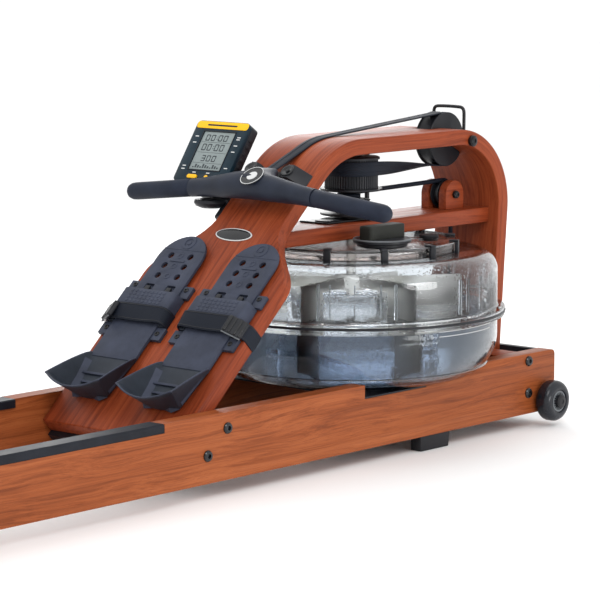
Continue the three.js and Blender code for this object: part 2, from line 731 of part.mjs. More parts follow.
// The belt starts round the drum, turns a quarter twist on its way to the big pulley, goes
// over it, lies on the board's rear bend and ends at the handle.
function driveBelt() {
  const up = new THREE.Vector3(0, 0, 1);
  const frames = [];
  const drumR = DRUM.radius + WRAP_GAP + BELT.thickness / 2;
  const leaveDrum = 2 * Math.PI - Math.acos(drumR / (BELT_PULLEY.x - TANK_X));
  for (const [x, y] of arcPoints(TANK_X, 0, drumR, 110 * DEG, leaveDrum, 12)) {
    const through = new THREE.Vector3(x - TANK_X, y, 0).normalize();
    frames.push({ point: new THREE.Vector3(x, y, BELT.drumZ), across: up, through });
  }
  const pulleyR = BELT_PULLEY.hub + WRAP_GAP + BELT.thickness / 2;
  const { point: start, through: outward } = frames[frames.length - 1];
  const finishPoint = new THREE.Vector3(BELT_PULLEY.x, 0, BELT_PULLEY.z - pulleyR);
  const heading = outward.clone().cross(up).negate();
  const twistSteps = 10;
  for (let i = 1; i < twistSteps; i += 1) {
    const part = i / twistSteps;
    const turn = Math.min(1, part / BELT.flatFrom) * Math.PI / 2;
    frames.push({
      point: start.clone().lerp(finishPoint, part),
      across: up.clone().applyAxisAngle(heading, turn),
      through: outward.clone().applyAxisAngle(heading, turn),
    });
  }
  const across = new THREE.Vector3(0, -1, 0);
  const push = ([x, z], nx, nz) => frames.push({
    point: new THREE.Vector3(x, 0, z), across, through: new THREE.Vector3(nx, 0, nz),
  });
  const run = beltRun(pulleyR);
  for (const angle of run.pulleyAngles) {
    const [nx, nz] = [Math.cos(angle), Math.sin(angle)];
    push([BELT_PULLEY.x + pulleyR * nx, BELT_PULLEY.z + pulleyR * nz], nx, nz);
  }
  for (const angle of run.bendAngles) {
    const [nx, nz] = [Math.cos(angle), Math.sin(angle)];
    push([rearBend.x + run.bendR * nx, rearBend.z + run.bendR * nz], nx, nz);
  }
  const last = run.bendAngles[run.bendAngles.length - 1];
  push([NOSE.x, NOSE.y], Math.cos(last), Math.sin(last));
  return ribbon(frames, BELT.width, BELT.thickness);
}

// Where the belt touches the big pulley and the board's rear bend.
function beltRun(pulleyR) {
  const bendR = BOARD.bendRear + 2 * GAP + BELT.thickness / 2;
  const dx = BELT_PULLEY.x - rearBend.x;
  const dz = BELT_PULLEY.z - rearBend.z;
  const tilt = Math.atan2(dz, dx) - Math.asin((bendR - pulleyR) / Math.hypot(dx, dz));
  const normal = Math.PI / 2 + tilt;
  const nx = NOSE.x - rearBend.x;
  const nz = NOSE.y - rearBend.z;
  const leave = Math.atan2(nz, nx) - Math.acos(bendR / Math.hypot(nx, nz));
  const spread = (from, to, steps) =>
    Array.from({ length: steps + 1 }, (_, i) => from + (to - from) * i / steps);
  return {
    bendR,
    pulleyAngles: spread(-Math.PI / 2, normal, 12),
    bendAngles: spread(normal, leave, 5),
  };
}

// The bungee cord runs from its spool over the pulley on the beam, down past the tank,
// round the pulley in the base block and back under the tank to the footboard's cross block.
function bungeeCord() {
  const spoolR = DRUM.spool + WRAP_GAP + CORD_R;
  const { x, z } = CORD_PULLEY;
  const anchor = onSlope(-470, -BOARD.thickness - 33);
  const wrap = arcPoints(TANK_X, 0, spoolR, 260 * DEG, 90 * DEG, 8)
    .map(([px, py]) => new THREE.Vector3(px, py, SPOOL_Z));
  const over = arcPoints(x, z, CORD_RUN, 90 * DEG, 0, 4)
    .map(([px, pz]) => new THREE.Vector3(px, 0, pz));
  const under = arcPoints(x, BASE_PULLEY_Z, CORD_RUN, 0, -88 * DEG, 4)
    .map(([px, pz]) => new THREE.Vector3(px, 0, pz));
  const route = [...wrap, ...over, ...under, new THREE.Vector3(anchor.x, 0, anchor.y)];
  return roundBar(route, route.map(() => CORD_R), 8);
}

add("shaft_housing", shaftHousing(), FINISH.blackSteel);
add("belt_drum", beltDrum(), FINISH.blackPlastic);
add("tie_rod", rodZ(TIE_ROD.radius, BEAM.top + GAP, BOARD.topZ - BOARD.thickness - GAP,
  TIE_ROD.x, TIE_ROD.y, 12), FINISH.blackSteel);
for (const [name, side] of Object.entries(SIDES)) {
  add(`pulley_bracket_${name}`, pulleyEar(side), FINISH.archWood);
}
add("bungee_pulley", groovedPulley(CORD_PULLEY.x, CORD_PULLEY.z), FINISH.blackPlastic);
add("bungee_pulley_axle", headedPin(CORD_PULLEY.x, CORD_PULLEY.z, EAR.outer, 7, 5),
  FINISH.blackSteel);
add("base_pulley", groovedPulley(CORD_PULLEY.x, BASE_PULLEY_Z), FINISH.blackPlastic);
add("base_pulley_axle",
  rodY(AXLE_R, -POST_BLOCK.pin, POST_BLOCK.pin, CORD_PULLEY.x, BASE_PULLEY_Z),
  FINISH.blackSteel);
add("belt_pulley", beltPulley(), FINISH.blackPlastic);
add("belt_pulley_axle", headedPin(BELT_PULLEY.x, BELT_PULLEY.z, BOARD.halfTop, 10, 6),
  FINISH.blackSteel);
add("belt_guard_wire", guardWire(), FINISH.blackSteel);
add("drive_belt", driveBelt(), FINISH.webbing);
add("bungee_cord", bungeeCord(), FINISH.webbing);

// ---------------------------------------------------------------------------------------
// Handle and its rest
// ---------------------------------------------------------------------------------------

// A point on the bar's bent axis: straight towards each end, rounded where the halves meet.
function onBar(y) {
  const { x, z, hub } = HANDLE;
  const reach = Math.abs(y);
  const bent = Math.min(reach, hub / 4);
  const run = reach - bent + bent * bent / (hub / 2);
  return new THREE.Vector3(
    x + Math.tan(HANDLE_SWEEP) * run, y, z - Math.tan(HANDLE_DROOP) * run,
  );
}

// The hub swells towards its middle, and carries the bar that the grips are pushed on.
function handleHub() {
  const { x, z, hub, half, gripR, barR, core } = HANDLE;
  const swell = (y) => gripR + 0.5 + (core - 4) * Math.cos(y / hub * Math.PI / 2) ** 2;
  const stations = Array.from({ length: 13 }, (_, i) => hub * (i / 6 - 1));
  const body = roundBar(stations.map(onBar), stations.map(swell), 20);
  const end = half - 14;
  const ends = [-end, -hub, hub, end].map(onBar);
  const tubes = [ends.slice(0, 2), ends.slice(2)].map((pair) =>
    roundBar(pair, [barR, barR], 14));
  const reach = NOSE.clone().sub(new THREE.Vector2(x, z));
  const length = reach.length() - 1;
  const plate = new THREE.Shape();
  plate.moveTo(0, -74);
  plate.bezierCurveTo(24, -60, 26, -24, length, -15);
  plate.lineTo(length, 15);
  plate.bezierCurveTo(26, 24, 24, 60, 0, 74);
  const wedge = upwards(plate, -core + 4, core - 2, 8);
  wedge.rotateY(-reach.angle()).translate(x, 0, z);
  return join(body, ...tubes, wedge);
}

function grip(side) {
  const { hub, half, gripR, barR } = HANDLE;
  const reach = 1 / Math.cos(HANDLE_DROOP);
  const start = (hub + 2) * reach;
  const end = half * reach;
  const bore = barR + RUN;
  const edge = 9;
  const profile = [
    [bore, start], [gripR, start], [gripR, end - edge],
    ...arcPoints(gripR - edge, end - edge, edge, 0, Math.PI / 2, 3),
    [0, end], [0, end - 12], [bore, end - 12], [bore, start],
  ];
  const geometry = turnY(profile, 0, 0, 20);
  if (side < 0) {
    geometry.rotateZ(Math.PI);
  }
  const { x, z } = onBar(hub);
  const peakX = x - hub * Math.tan(HANDLE_SWEEP);
  const peakZ = z + hub * Math.tan(HANDLE_DROOP);
  geometry.rotateX(-side * HANDLE_DROOP).rotateZ(-side * HANDLE_SWEEP);
  return geometry.translate(peakX, 0, peakZ);
}

// Two horns on a saddle carry the bar, and the belt runs between them.
function handleRest() {
  const { half, horn, inner, trough, top } = REST;
  const arch = [
    [half, GAP], [half, 3], [horn, top - 4], [horn - 5, top], [inner + 5, top],
    [inner, top - 5], [trough, 6],
  ];
  const outline = [...arch, ...arch.map(([y, z]) => [-y, z]).reverse()];
  const saddle = lengthways(polygon(outline), REST.lower, REST.upper);
  const middle = (REST.lower + REST.upper) / 2;
  const socket = (y) => rodZ(6, top - 14, top + 5, middle, y, 14);
  const y = (horn + inner) / 2;
  return cut(saddle, socket(-y), socket(y));
}

add("handle_hub", handleHub(), FINISH.footPlastic);
for (const [name, side] of Object.entries(SIDES)) {
  add(`grip_${name}`, grip(side), FINISH.gripFoam);
}
add("handle_rest", handleRest(), FINISH.blackPlastic, slope);

// ---------------------------------------------------------------------------------------
// Monitor
// ---------------------------------------------------------------------------------------

// Local X runs to the rower's right, local Y up the face and local Z out of the face.
const monitor = new THREE.Group();
const faceUp = new THREE.Vector3(Math.cos(MONITOR.tilt), 0, Math.sin(MONITOR.tilt));
const faceRight = new THREE.Vector3(0, -1, 0);
const faceOut = faceRight.clone().cross(faceUp);
monitor.position.copy(MONITOR_FOOT);
monitor.setRotationFromMatrix(new THREE.Matrix4().makeBasis(faceRight, faceUp, faceOut));
rower.add(monitor);

const pin = onSlope(MONITOR_PIN.down, MONITOR_PIN.off);

function monitorArm() {
  const edge = BOARD.halfTop + GAP;
  const onEdge = (shape, depth) => upwards(shape, 0, depth, 3)
    .rotateX(Math.PI / 2).rotateY(-BOARD.slope)
    .translate(BOARD.foot.x, edge + depth, BOARD.foot.y);
  const foot = onEdge(roundedRectangle(-36, 52, -24, -4, 4), 5);
  const lug = onEdge(roundedRectangle(-36, -8, -20, -5, 3), 14);
  const shoulder = MONITOR_FOOT.y - 8.5;
  const barrel = rodY(11, edge + 2, shoulder, pin.x, pin.y, 20);
  const tip = rodY(MONITOR_PIN.radius, shoulder - 1, shoulder + 26, pin.x, pin.y, 16);
  return join(foot, lug, barrel, tip, knuckle(edge));
}

// A rounded joint housing beside the board, on a short arm from its edge.
function knuckle(edge) {
  const { x, y, radius, bottom, top } = KNUCKLE;
  const dome = turnZ([
    [0, bottom], [radius * 0.6, bottom + 1], [radius * 0.9, bottom + 5],
    [radius, bottom + 10], [radius * 0.95, top - 1], [0, top],
  ], x, y, 28);
  return join(dome, block(x, pin.x, edge + 1, y, bottom + 6, top));
}

// The tilt pin as the monitor's own frame sees it.
function pinOnMonitor() {
  const offset = new THREE.Vector3(pin.x, MONITOR_FOOT.y, pin.y).sub(MONITOR_FOOT);
  return { up: offset.dot(faceUp), out: offset.dot(faceOut) };
}

function monitorBack() {
  const { width, height, front, back } = MONITOR;
  const half = width / 2;
  const shell = upwards(roundedRectangle(-half, half, 0, height, 8),
    -front - back, -front - GAP, 3);
  const { up, out } = pinOnMonitor();
  const ringHalf = 11;
  const ring = rodX(11, -ringHalf - 5, ringHalf - 5, up, out, 20);
  const neck = block(-ringHalf - 5, ringHalf - 5, up, up + 22, out, -front - back + 2);
  const bore = rodX(MONITOR_PIN.radius + RUN, -40, 40, up, out, 16);
  return cut(join(shell, ring, neck), bore);
}

const SCREEN = { x0: -36, x1: 36, y0: 24, y1: 99 };
const KEY_LONG = { x: -19, y: 10, halfX: 11, halfY: 3.6 };
const KEY_ROUND = { x: 13, y: 10, r: 4 };

function monitorBezel() {
  const { width, height, front } = MONITOR;
  const half = width / 2;
  const face = upwards(roundedRectangle(-half, half, 0, height, 8), -front, 0, 3);
  const window = block(SCREEN.x0, SCREEN.x1, SCREEN.y0, SCREEN.y1, -2, 1);
  const long = longKey(GAP, -front - 1, 1);
  const round = roundKey(GAP, -front - 1, 1);
  return cut(face, window, long, round);
}

function longKey(extra, z0, z1) {
  const { x, y, halfX, halfY } = KEY_LONG;
  const shape = roundedRectangle(x - halfX - extra, x + halfX + extra,
    y - halfY - extra, y + halfY + extra, halfY);
  return upwards(shape, z0, z1, 3);
}

function roundKey(extra, z0, z1) {
  return rodZ(KEY_ROUND.r + extra, z0, z1, KEY_ROUND.x, KEY_ROUND.y, 16);
}

const KEY_BACK = -5;
add("monitor_arm", monitorArm(), FINISH.blackPlastic);
add("monitor_back", monitorBack(), FINISH.blackPlastic, monitor);
add("monitor_bezel", monitorBezel(), FINISH.monitorFace, monitor);
add("button_select", longKey(0, KEY_BACK, 2), FINISH.yellowPlastic, monitor);
add("button_reset", roundKey(0, KEY_BACK, 2), FINISH.yellowPlastic, monitor);

// ---------------------------------------------------------------------------------------
// Foot plates: a fixed base, a sliding heel plate and a strap on each side
// ---------------------------------------------------------------------------------------

function footBase() {
  const { bed: half, floor } = FOOT;
  const { rows, length, reach: edge } = TABS;
  const bed = block(rows[1] - 2, rows[0] + length + 2, -half, half, GAP, floor);
  const tabs = rows.map((x) => block(x, x + length, -edge, edge, GAP, TAB_TOP));
  const reach = FOOT.half + 2 * GAP;
  const channel = block(CUP.start, SLIDE_TOP, -reach, reach, floor, 2 * TAB_TOP);
  return cut(join(bed, ...tabs), channel);
}

function heelPlate() {
  const low = FOOT.floor + GAP;
  const high = low + FOOT.plate;
  const { start, end, half, height, wall } = CUP;
  const outline = new THREE.Shape();
  outline.moveTo(start - 20, -FOOT.half);
  outline.lineTo(SLIDE_TOP - FOOT.half, -FOOT.half);
  outline.absarc(SLIDE_TOP - FOOT.half, 0, FOOT.half, -Math.PI / 2, Math.PI / 2);
  outline.lineTo(start - 20, FOOT.half);
  const { rows, across, radius } = SOLE_HOLES;
  const holes = rows.flatMap((x) =>
    [-across, across].map((y) => rodZ(radius, 0, 4 * high, x, y, 10)));
  const plate = cut(upwards(outline, low, high, 6), ...holes);
  return join(plate, heelCup(low, start, end, half, height, wall));
}

// A scoop whose rim climbs from the plate to the heel, rounded at the heel end.
function heelCup(low, start, end, half, height, wall) {
  const scoop = (inset) => {
    const shape = new THREE.Shape();
    const r = half - inset;
    const middle = end + 36;
    shape.moveTo(start + 1, -r);
    shape.lineTo(start + 1, r);
    shape.lineTo(middle, r);
    shape.bezierCurveTo(end + 8 + inset, r, end + inset, r * 0.75, end + inset, 0);
    shape.bezierCurveTo(end + inset, -r * 0.75, end + 8 + inset, -r, middle, -r);
    return shape;
  };
  const outside = upwards(scoop(0), low, height + 2, 6);
  const inside = upwards(scoop(wall), low + wall, height + 20, 6);
  inside.translate(wall + 2, 0, 0);
  const above = sideways(polygon([
    [start + 20, low + 4], [start - 6, low + 6], [end - 4, height],
    [end - 4, height + 60], [start + 20, height + 60],
  ]), -half - 5, half + 5);
  return cut(outside, inside, above);
}

// The outline of a band that stands up from the board, crosses the foot and comes down.
function bandOutline({ foot, crown, top, thickness }, low) {
  const bend = 10;
  const half = (inset) => [
    [foot - inset, low],
    ...arcPoints(crown - bend, top - bend, bend - inset, 0.2, Math.PI / 2, 3),
  ];
  const whole = (inset) => {
    const right = half(inset);
    return [...right, ...right.map(([y, z]) => [-y, z]).reverse()];
  };
  return polygon([...whole(0), ...whole(thickness).reverse()]);
}

// A wide pad lies over the foot, and a webbing strap is sewn across its lower edge.
function strap() {
  const low = 2 * GAP;
  const pad = lengthways(bandOutline(PAD, low), PAD.lower, PAD.upper);
  const webbing = lengthways(bandOutline(STRAP, low), STRAP.lower, STRAP.upper);
  return join(pad, webbing);
}

for (const name of Object.keys(SIDES)) {
  const foot = new THREE.Group();
  foot.position.y = FOOT[name];
  slope.add(foot);
  add(`foot_base_${name}`, footBase(), FINISH.footPlastic, foot);
  add(`heel_plate_${name}`, heelPlate(), FINISH.footPlastic, foot);
  add(`foot_strap_${name}`, strap(), FINISH.webbing, foot);
}

// ---------------------------------------------------------------------------------------
// Transport wheels
// ---------------------------------------------------------------------------------------

function wheel(side) {
  const { radius, inner, width, crown } = WHEEL;
  const bore = AXLE_R + RUN;
  const y0 = side > 0 ? inner : -inner - width;
  const shoulder = radius - crown;
  return turnY([
    [bore, y0], [shoulder, y0],
    ...arcPoints(shoulder, y0 + crown, crown, -Math.PI / 2, 0, 3),
    ...arcPoints(shoulder, y0 + width - crown, crown, 0, Math.PI / 2, 3),
    [bore, y0 + width], [bore, y0],
  ], WHEEL.x, WHEEL.z, 28);
}

add("wheel_axle", headedPin(WHEEL.x, WHEEL.z, WHEEL.inner + WHEEL.width, 12, 4),
  FINISH.blackSteel);
for (const [name, side] of Object.entries(SIDES)) {
  add(`wheel_${name}`, wheel(side), FINISH.blackRubber);
}

// ---------------------------------------------------------------------------------------
// Sliding seat
// ---------------------------------------------------------------------------------------

const seat = new THREE.Group();
seat.position.x = SEAT_X;
rower.add(seat);

const ROLLER_Z = RAIL.top + GAP + ROLLER.radius;

function seatFrame() {
  const { plate, plateTop, halfX } = SEAT;
  const outline = roundedRectangle(-halfX + 5, halfX - 5, -145, 145, 20);
  const top = upwards(outline, plate, plateTop, 3);
  const cheek = (side) => block(-halfX + 12, halfX - 12, Math.min(side * 138, side * 144),
    Math.max(side * 138, side * 144), 136, plate + 1);
  const stub = (x, side) => {
    const reach = ROLLER.y + ROLLER.width + 3;
    return rodY(AXLE_R, Math.min(side * 143, side * reach), Math.max(side * 143, side * reach),
      x, ROLLER_Z, 16);
  };
  const stubs = [-ROLLER.x, ROLLER.x].flatMap((x) => [stub(x, -1), stub(x, 1)]);
  return join(top, cheek(-1), cheek(1), ...stubs);
}

function roller(side) {
  const { radius, width, y } = ROLLER;
  const y0 = side > 0 ? y : -y - width;
  const bore = AXLE_R + RUN;
  return turnY([
    [bore, y0], [radius - 2, y0], [radius, y0 + 2],
    [radius, y0 + width - 2], [radius - 2, y0 + width], [bore, y0 + width], [bore, y0],
  ], 0, 0, 28);
}

// The cushion is wider at the back, with a shallow scallop for the tail bone.
function cushionOutline() {
  const { halfX, halfY } = SEAT;
  const shape = new THREE.Shape();
  shape.moveTo(halfX, 0);
  shape.bezierCurveTo(halfX, halfY * 0.6, halfX - 15, halfY - 25, halfX - 60, halfY - 18);
  shape.bezierCurveTo(20, halfY - 5, -30, halfY, -halfX + 50, halfY);
  shape.bezierCurveTo(-halfX + 5, halfY, -halfX, halfY - 40, -halfX, halfY - 70);
  shape.bezierCurveTo(-halfX, 45, -halfX + 28, 40, -halfX + 28, 0);
  shape.bezierCurveTo(-halfX + 28, -40, -halfX, -45, -halfX, -halfY + 70);
  shape.bezierCurveTo(-halfX, -halfY + 40, -halfX + 5, -halfY, -halfX + 50, -halfY);
  shape.bezierCurveTo(-30, -halfY, 20, -halfY + 5, halfX - 60, -halfY + 18);
  shape.bezierCurveTo(halfX - 15, -halfY + 25, halfX, -halfY * 0.6, halfX, 0);
  return shape;
}

add("seat_frame", seatFrame(), FINISH.blackSteel, seat);
add("seat_cushion", upwards(cushionOutline(), SEAT.plateTop + GAP, SEAT.top, 5),
  FINISH.seatVinyl, seat);
for (const [end, x] of Object.entries({ rear: -ROLLER.x, front: ROLLER.x })) {
  for (const [name, side] of Object.entries(SIDES)) {
    const wheelMesh = add(`seat_roller_${end}_${name}`, roller(side), FINISH.blackRubber, seat);
    wheelMesh.position.set(x, 0, ROLLER_Z);
  }
}

export default rower;
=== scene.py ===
"""Looks of the water rowing machine: Blender 4.5, metres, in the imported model's own frame."""

import math
import random

import bmesh
import bpy
import numpy as np
from mathutils import Matrix, Vector


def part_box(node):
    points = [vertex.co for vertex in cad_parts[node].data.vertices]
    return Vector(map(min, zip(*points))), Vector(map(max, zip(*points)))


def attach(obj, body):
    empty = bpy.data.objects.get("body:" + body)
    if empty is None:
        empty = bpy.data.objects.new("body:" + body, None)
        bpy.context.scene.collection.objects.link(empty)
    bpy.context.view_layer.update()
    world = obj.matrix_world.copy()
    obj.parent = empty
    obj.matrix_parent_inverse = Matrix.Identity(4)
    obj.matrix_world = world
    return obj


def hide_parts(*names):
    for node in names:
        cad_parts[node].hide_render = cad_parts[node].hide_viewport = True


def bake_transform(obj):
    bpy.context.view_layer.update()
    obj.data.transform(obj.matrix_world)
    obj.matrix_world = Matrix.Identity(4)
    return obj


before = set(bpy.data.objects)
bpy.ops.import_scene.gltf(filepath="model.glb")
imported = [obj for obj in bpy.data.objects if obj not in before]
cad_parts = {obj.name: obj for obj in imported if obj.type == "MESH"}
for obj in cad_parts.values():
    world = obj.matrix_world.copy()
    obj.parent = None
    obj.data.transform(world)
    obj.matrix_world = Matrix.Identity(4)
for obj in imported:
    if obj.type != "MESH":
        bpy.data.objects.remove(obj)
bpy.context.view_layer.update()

MM = 0.001
random.seed(7)
SIDES = (("right", -1), ("left", 1))

# ---------------------------------------------------------------------------------------
# Camera
# ---------------------------------------------------------------------------------------

camera_data = bpy.data.cameras.new("camera")
camera = bpy.data.objects.new("camera", camera_data)
bpy.context.scene.collection.objects.link(camera)
bpy.context.scene.camera = camera
camera.location = (-2.8824, -3.0744, 0.8916)
target = Vector((0.5755, 0.0, 0.252))
camera.rotation_euler = (target - camera.location).to_track_quat("-Z", "Y").to_euler()
camera_data.lens = 165.8
camera_data.sensor_width = 36
camera_data.clip_start = 0.05
camera_data.clip_end = 60

# ---------------------------------------------------------------------------------------
# The object's dimensions, in millimetres, as the CAD has them
# ---------------------------------------------------------------------------------------

SLOPE = math.radians(43)
FOOT_X, FOOT_Z = 480, 425
TOP_Z, THICK = 524, 27
REAR_R, FRONT_R, FRONT_X = 165, 138, 918.5
LEAN = math.radians(4.3)
HALF_TOP, HALF_FOOT, LOW_END = 72.5, 152.4, -491
BASE = "base_frame"
RAIL_OUTER = 183
SLOT = (893, 1005)                # the opening in the arch board for the belt pulley
TANK_X = 708
PULLEY_X, PULLEY_Z, PULLEY_HUB = 948, 503, 45
WRAP_GAP, HALF_BELT = 0.8, 1      # between a wrapped belt or cord and what it wraps round
CORD_X, CORD_Z, BASE_Z = 958, 404.6, 62
CORD_RUN = 24.0
SPOOL_R, SPOOL_Z = 16, 421
DRUM_R, BELT_Z = 46, 468
WHEEL_X, WHEEL_Z = 1024, 44.6
SEAT_X, ROLLER_REACH, ROLLER_Z = -772, 90, 156.3
KNOB_X, KNOB_Y, LID_TOP = 656, -113, 345
FOOT_Y = {"right": -77, "left": 84}
BAR_X, BAR_Z = 455.5, 455.5
DROOP, SWEEP = math.radians(6.2), math.radians(1.5)
NOSE_X, NOSE_Z = 503, 478
REAR_X = FOOT_X + (TOP_Z - FOOT_Z) / math.tan(SLOPE) + REAR_R * math.tan(SLOPE / 2)
UP = Vector((math.cos(SLOPE), 0, math.sin(SLOPE)))
OFF = Vector((-math.sin(SLOPE), 0, math.cos(SLOPE)))
ON_BOARD = Matrix((
    (UP.x, 0, OFF.x, FOOT_X), (0, 1, 0, 0), (UP.z, 0, OFF.z, FOOT_Z), (0, 0, 0, 1),
))
QUARTER = math.pi / 2
WELD = 1e-6                       # metres; points closer than this are joined
AXIS = 0.01                       # how near its axis a turned profile comes


def on_board(up, y, off):
    return ON_BOARD @ Vector((up, y, off))


# ---------------------------------------------------------------------------------------
# Materials
# ---------------------------------------------------------------------------------------

class Nodes:
    """A material under construction: node() adds a node, wired from its keyword inputs."""

    def __init__(self, name):
        self.material = bpy.data.materials.new(name)
        self.material.use_nodes = True
        self.tree = self.material.node_tree
        self.shader = self.tree.nodes["Principled BSDF"]

    def node(self, kind, inputs=None, **settings):
        made = self.tree.nodes.new(kind)
        for key, value in settings.items():
            setattr(made, key, value)
        for key, value in (inputs or {}).items():
            self.feed(made.inputs[key], value)
        return made

    def feed(self, socket, value):
        if isinstance(value, bpy.types.NodeSocket):
            self.tree.links.new(value, socket)
        else:
            socket.default_value = value

    def set(self, **values):
        for key, value in values.items():
            self.feed(self.shader.inputs[key.replace("_", " ")], value)

    def ramp(self, factor, stops):
        ramp = self.node("ShaderNodeValToRGB", {"Fac": factor})
        band = ramp.color_ramp
        while len(band.elements) < len(stops):
            band.elements.new(0.5)
        for element, (place, colour) in zip(band.elements, stops):
            element.position = place
            element.color = (*colour, 1)
        return ramp.outputs["Color"]

    def mix(self, factor, a, b, blend_type="MIX"):
        mixer = self.node("ShaderNodeMix", data_type="RGBA", blend_type=blend_type)
        self.feed(mixer.inputs[0], factor)
        for socket, value in ((mixer.inputs[6], a), (mixer.inputs[7], b)):
            self.feed(socket, (*value, 1) if isinstance(value, tuple) else value)
        return mixer.outputs[2]

    def math(self, operation, a, b=0.0, clamp=False):
        made = self.node("ShaderNodeMath", operation=operation, use_clamp=clamp)
        self.feed(made.inputs[0], a)
        self.feed(made.inputs[1], b)
        return made.outputs[0]

    def noise(self, vector, scale, detail=4.0, roughness=0.55, distortion=0.0):
        made = self.node("ShaderNodeTexNoise", {
            "Vector": vector, "Scale": scale, "Detail": detail, "Roughness": roughness,
            "Distortion": distortion,
        })
        return made.outputs["Fac"]

    def stretch(self, vector, scale, offset=(0, 0, 0)):
        made = self.node("ShaderNodeMapping", {
            "Vector": vector, "Scale": scale, "Location": offset,
        })
        return made.outputs["Vector"]

    def place(self):
        return self.node("ShaderNodeTexCoord").outputs["Object"]

    def bump(self, height, strength, distance):
        made = self.node("ShaderNodeBump", {
            "Height": height, "Strength": strength, "Distance": distance,
        })
        self.feed(self.shader.inputs["Normal"], made.outputs["Normal"])


def wood(name, tones, grain_attribute=None, gloss=0.32, offset=(0, 0, 0)):
    """Stained hardwood whose grain runs along X, or along a mesh's own grain attribute."""
    n = Nodes(name)
    if grain_attribute:
        where = n.node("ShaderNodeAttribute", attribute_name=grain_attribute)
        where = where.outputs["Vector"]
    else:
        where = n.place()
    dark, middle, light = tones
    broad = n.noise(n.stretch(where, (1.3, 16, 16), offset), 1.0, 3)
    warp = n.noise(n.stretch(where, (2.2, 12, 12), offset), 1.0, 2)
    bend = n.node("ShaderNodeCombineXYZ", {
        "Y": n.math("MULTIPLY", warp, 0.05), "Z": n.math("MULTIPLY", warp, 0.05),
    }).outputs[0]
    bent = n.node("ShaderNodeVectorMath", {0: where, 1: bend}, operation="ADD").outputs[0]
    streaks = n.noise(n.stretch(bent, (1.6, 150, 150), offset), 1.0, 5, 0.6)
    fine = n.noise(n.stretch(bent, (7, 620, 620), offset), 1.0, 3, 0.6)
    pores = n.noise(n.stretch(bent, (38, 1500, 1500), offset), 1.0, 2)
    tone = n.math("ADD", n.math("MULTIPLY", broad, 0.5), n.math("MULTIPLY", streaks, 0.5))
    colour = n.ramp(tone, ((0.34, dark), (0.5, middle), (0.66, light)))
    veins = n.ramp(streaks, ((0.36, (0.52, 0.45, 0.42)), (0.5, (1, 1, 1))))
    colour = n.mix(0.38, colour, veins, "MULTIPLY")
    flecks = n.ramp(fine, ((0.38, (0.62, 0.55, 0.5)), (0.52, (1, 1, 1))))
    colour = n.mix(0.5, colour, flecks, "MULTIPLY")
    dots = n.ramp(pores, ((0.33, (0.5, 0.42, 0.38)), (0.4, (1, 1, 1))))
    colour = n.mix(0.4, colour, dots, "MULTIPLY")
    n.set(Base_Color=colour, Coat_Weight=0.04, Coat_Roughness=0.3, Specular_IOR_Level=0.15)
    n.set(Roughness=n.math("ADD", gloss, n.math("MULTIPLY", fine, 0.22)))
    n.bump(n.math("ADD", fine, n.math("MULTIPLY", pores, 0.6)), 0.25, 0.0004)
    return n.material


def moulded(name, colour, roughness, grain=900, strength=0.12, wear=0.25, metal=0.0,
            shine=0.3):
    """Plastic, rubber or painted steel with a fine moulded grain and uneven sheen."""
    n = Nodes(name)
    where = n.place()
    cloud = n.noise(where, 22, 4, 0.6)
    speck = n.noise(where, grain, 3, 0.6)
    lighter = tuple(min(1, c * (1 + wear) + 0.004) for c in colour)
    darker = tuple(c * (1 - wear) for c in colour)
    base = n.ramp(cloud, ((0.3, darker), (0.7, lighter)))
    n.set(Base_Color=base, Metallic=metal, Specular_IOR_Level=shine)
    n.set(Roughness=n.math("ADD", roughness - 0.1, n.math("MULTIPLY", cloud, 0.2)))
    n.bump(speck, strength, 0.0004)
    return n.material


def woven(name, colour, pitch=0.0011):
    """Flat webbing: ribs across a strap, woven from two slightly different yarns."""
    n = Nodes(name)
    where = n.place()
    ribs = n.node("ShaderNodeTexWave", {
        "Vector": where, "Scale": 1 / pitch / 6.28, "Distortion": 1.5, "Detail": 2.0,
        "Detail Scale": 3.0,
    }, bands_direction="DIAGONAL").outputs["Fac"]
    fuzz = n.noise(where, 1400, 3)
    dark = tuple(c * 0.75 for c in colour)
    light = tuple(c * 1.3 for c in colour)
    n.set(Base_Color=n.ramp(n.mix(0.5, n.ramp(ribs, ((0, (0, 0, 0)), (1, (1, 1, 1)))), fuzz),
                            ((0.2, dark), (0.8, light))))
    n.set(Roughness=0.62, Specular_IOR_Level=0.2)
    n.bump(n.math("ADD", n.math("MULTIPLY", ribs, 0.4), fuzz), 0.25, 0.0004)
    return n.material


def polycarbonate(name, tint, roughness=0.03, drops=0.0):
    """Clear plastic with a grey tint, and condensation where drops is above zero."""
    n = Nodes(name)
    where = n.place()
    n.set(Base_Color=(*tint, 1), Transmission_Weight=1.0, IOR=1.38)
    flow = n.noise(n.stretch(where, (1, 1, 0.25)), 9, 3)
    beads = n.node("ShaderNodeTexVoronoi", {"Vector": where, "Scale": 170.0}).outputs["Distance"]
    bead = n.ramp(beads, ((0.1, (1, 1, 1)), (0.34, (0, 0, 0))))
    n.set(Roughness=n.math("ADD", roughness, n.math("MULTIPLY", flow, 0.05)))
    height = n.math("MULTIPLY", bead, drops)
    n.bump(n.math("ADD", height, n.math("MULTIPLY", flow, 0.25)), 0.3, 0.0012)
    return n.material


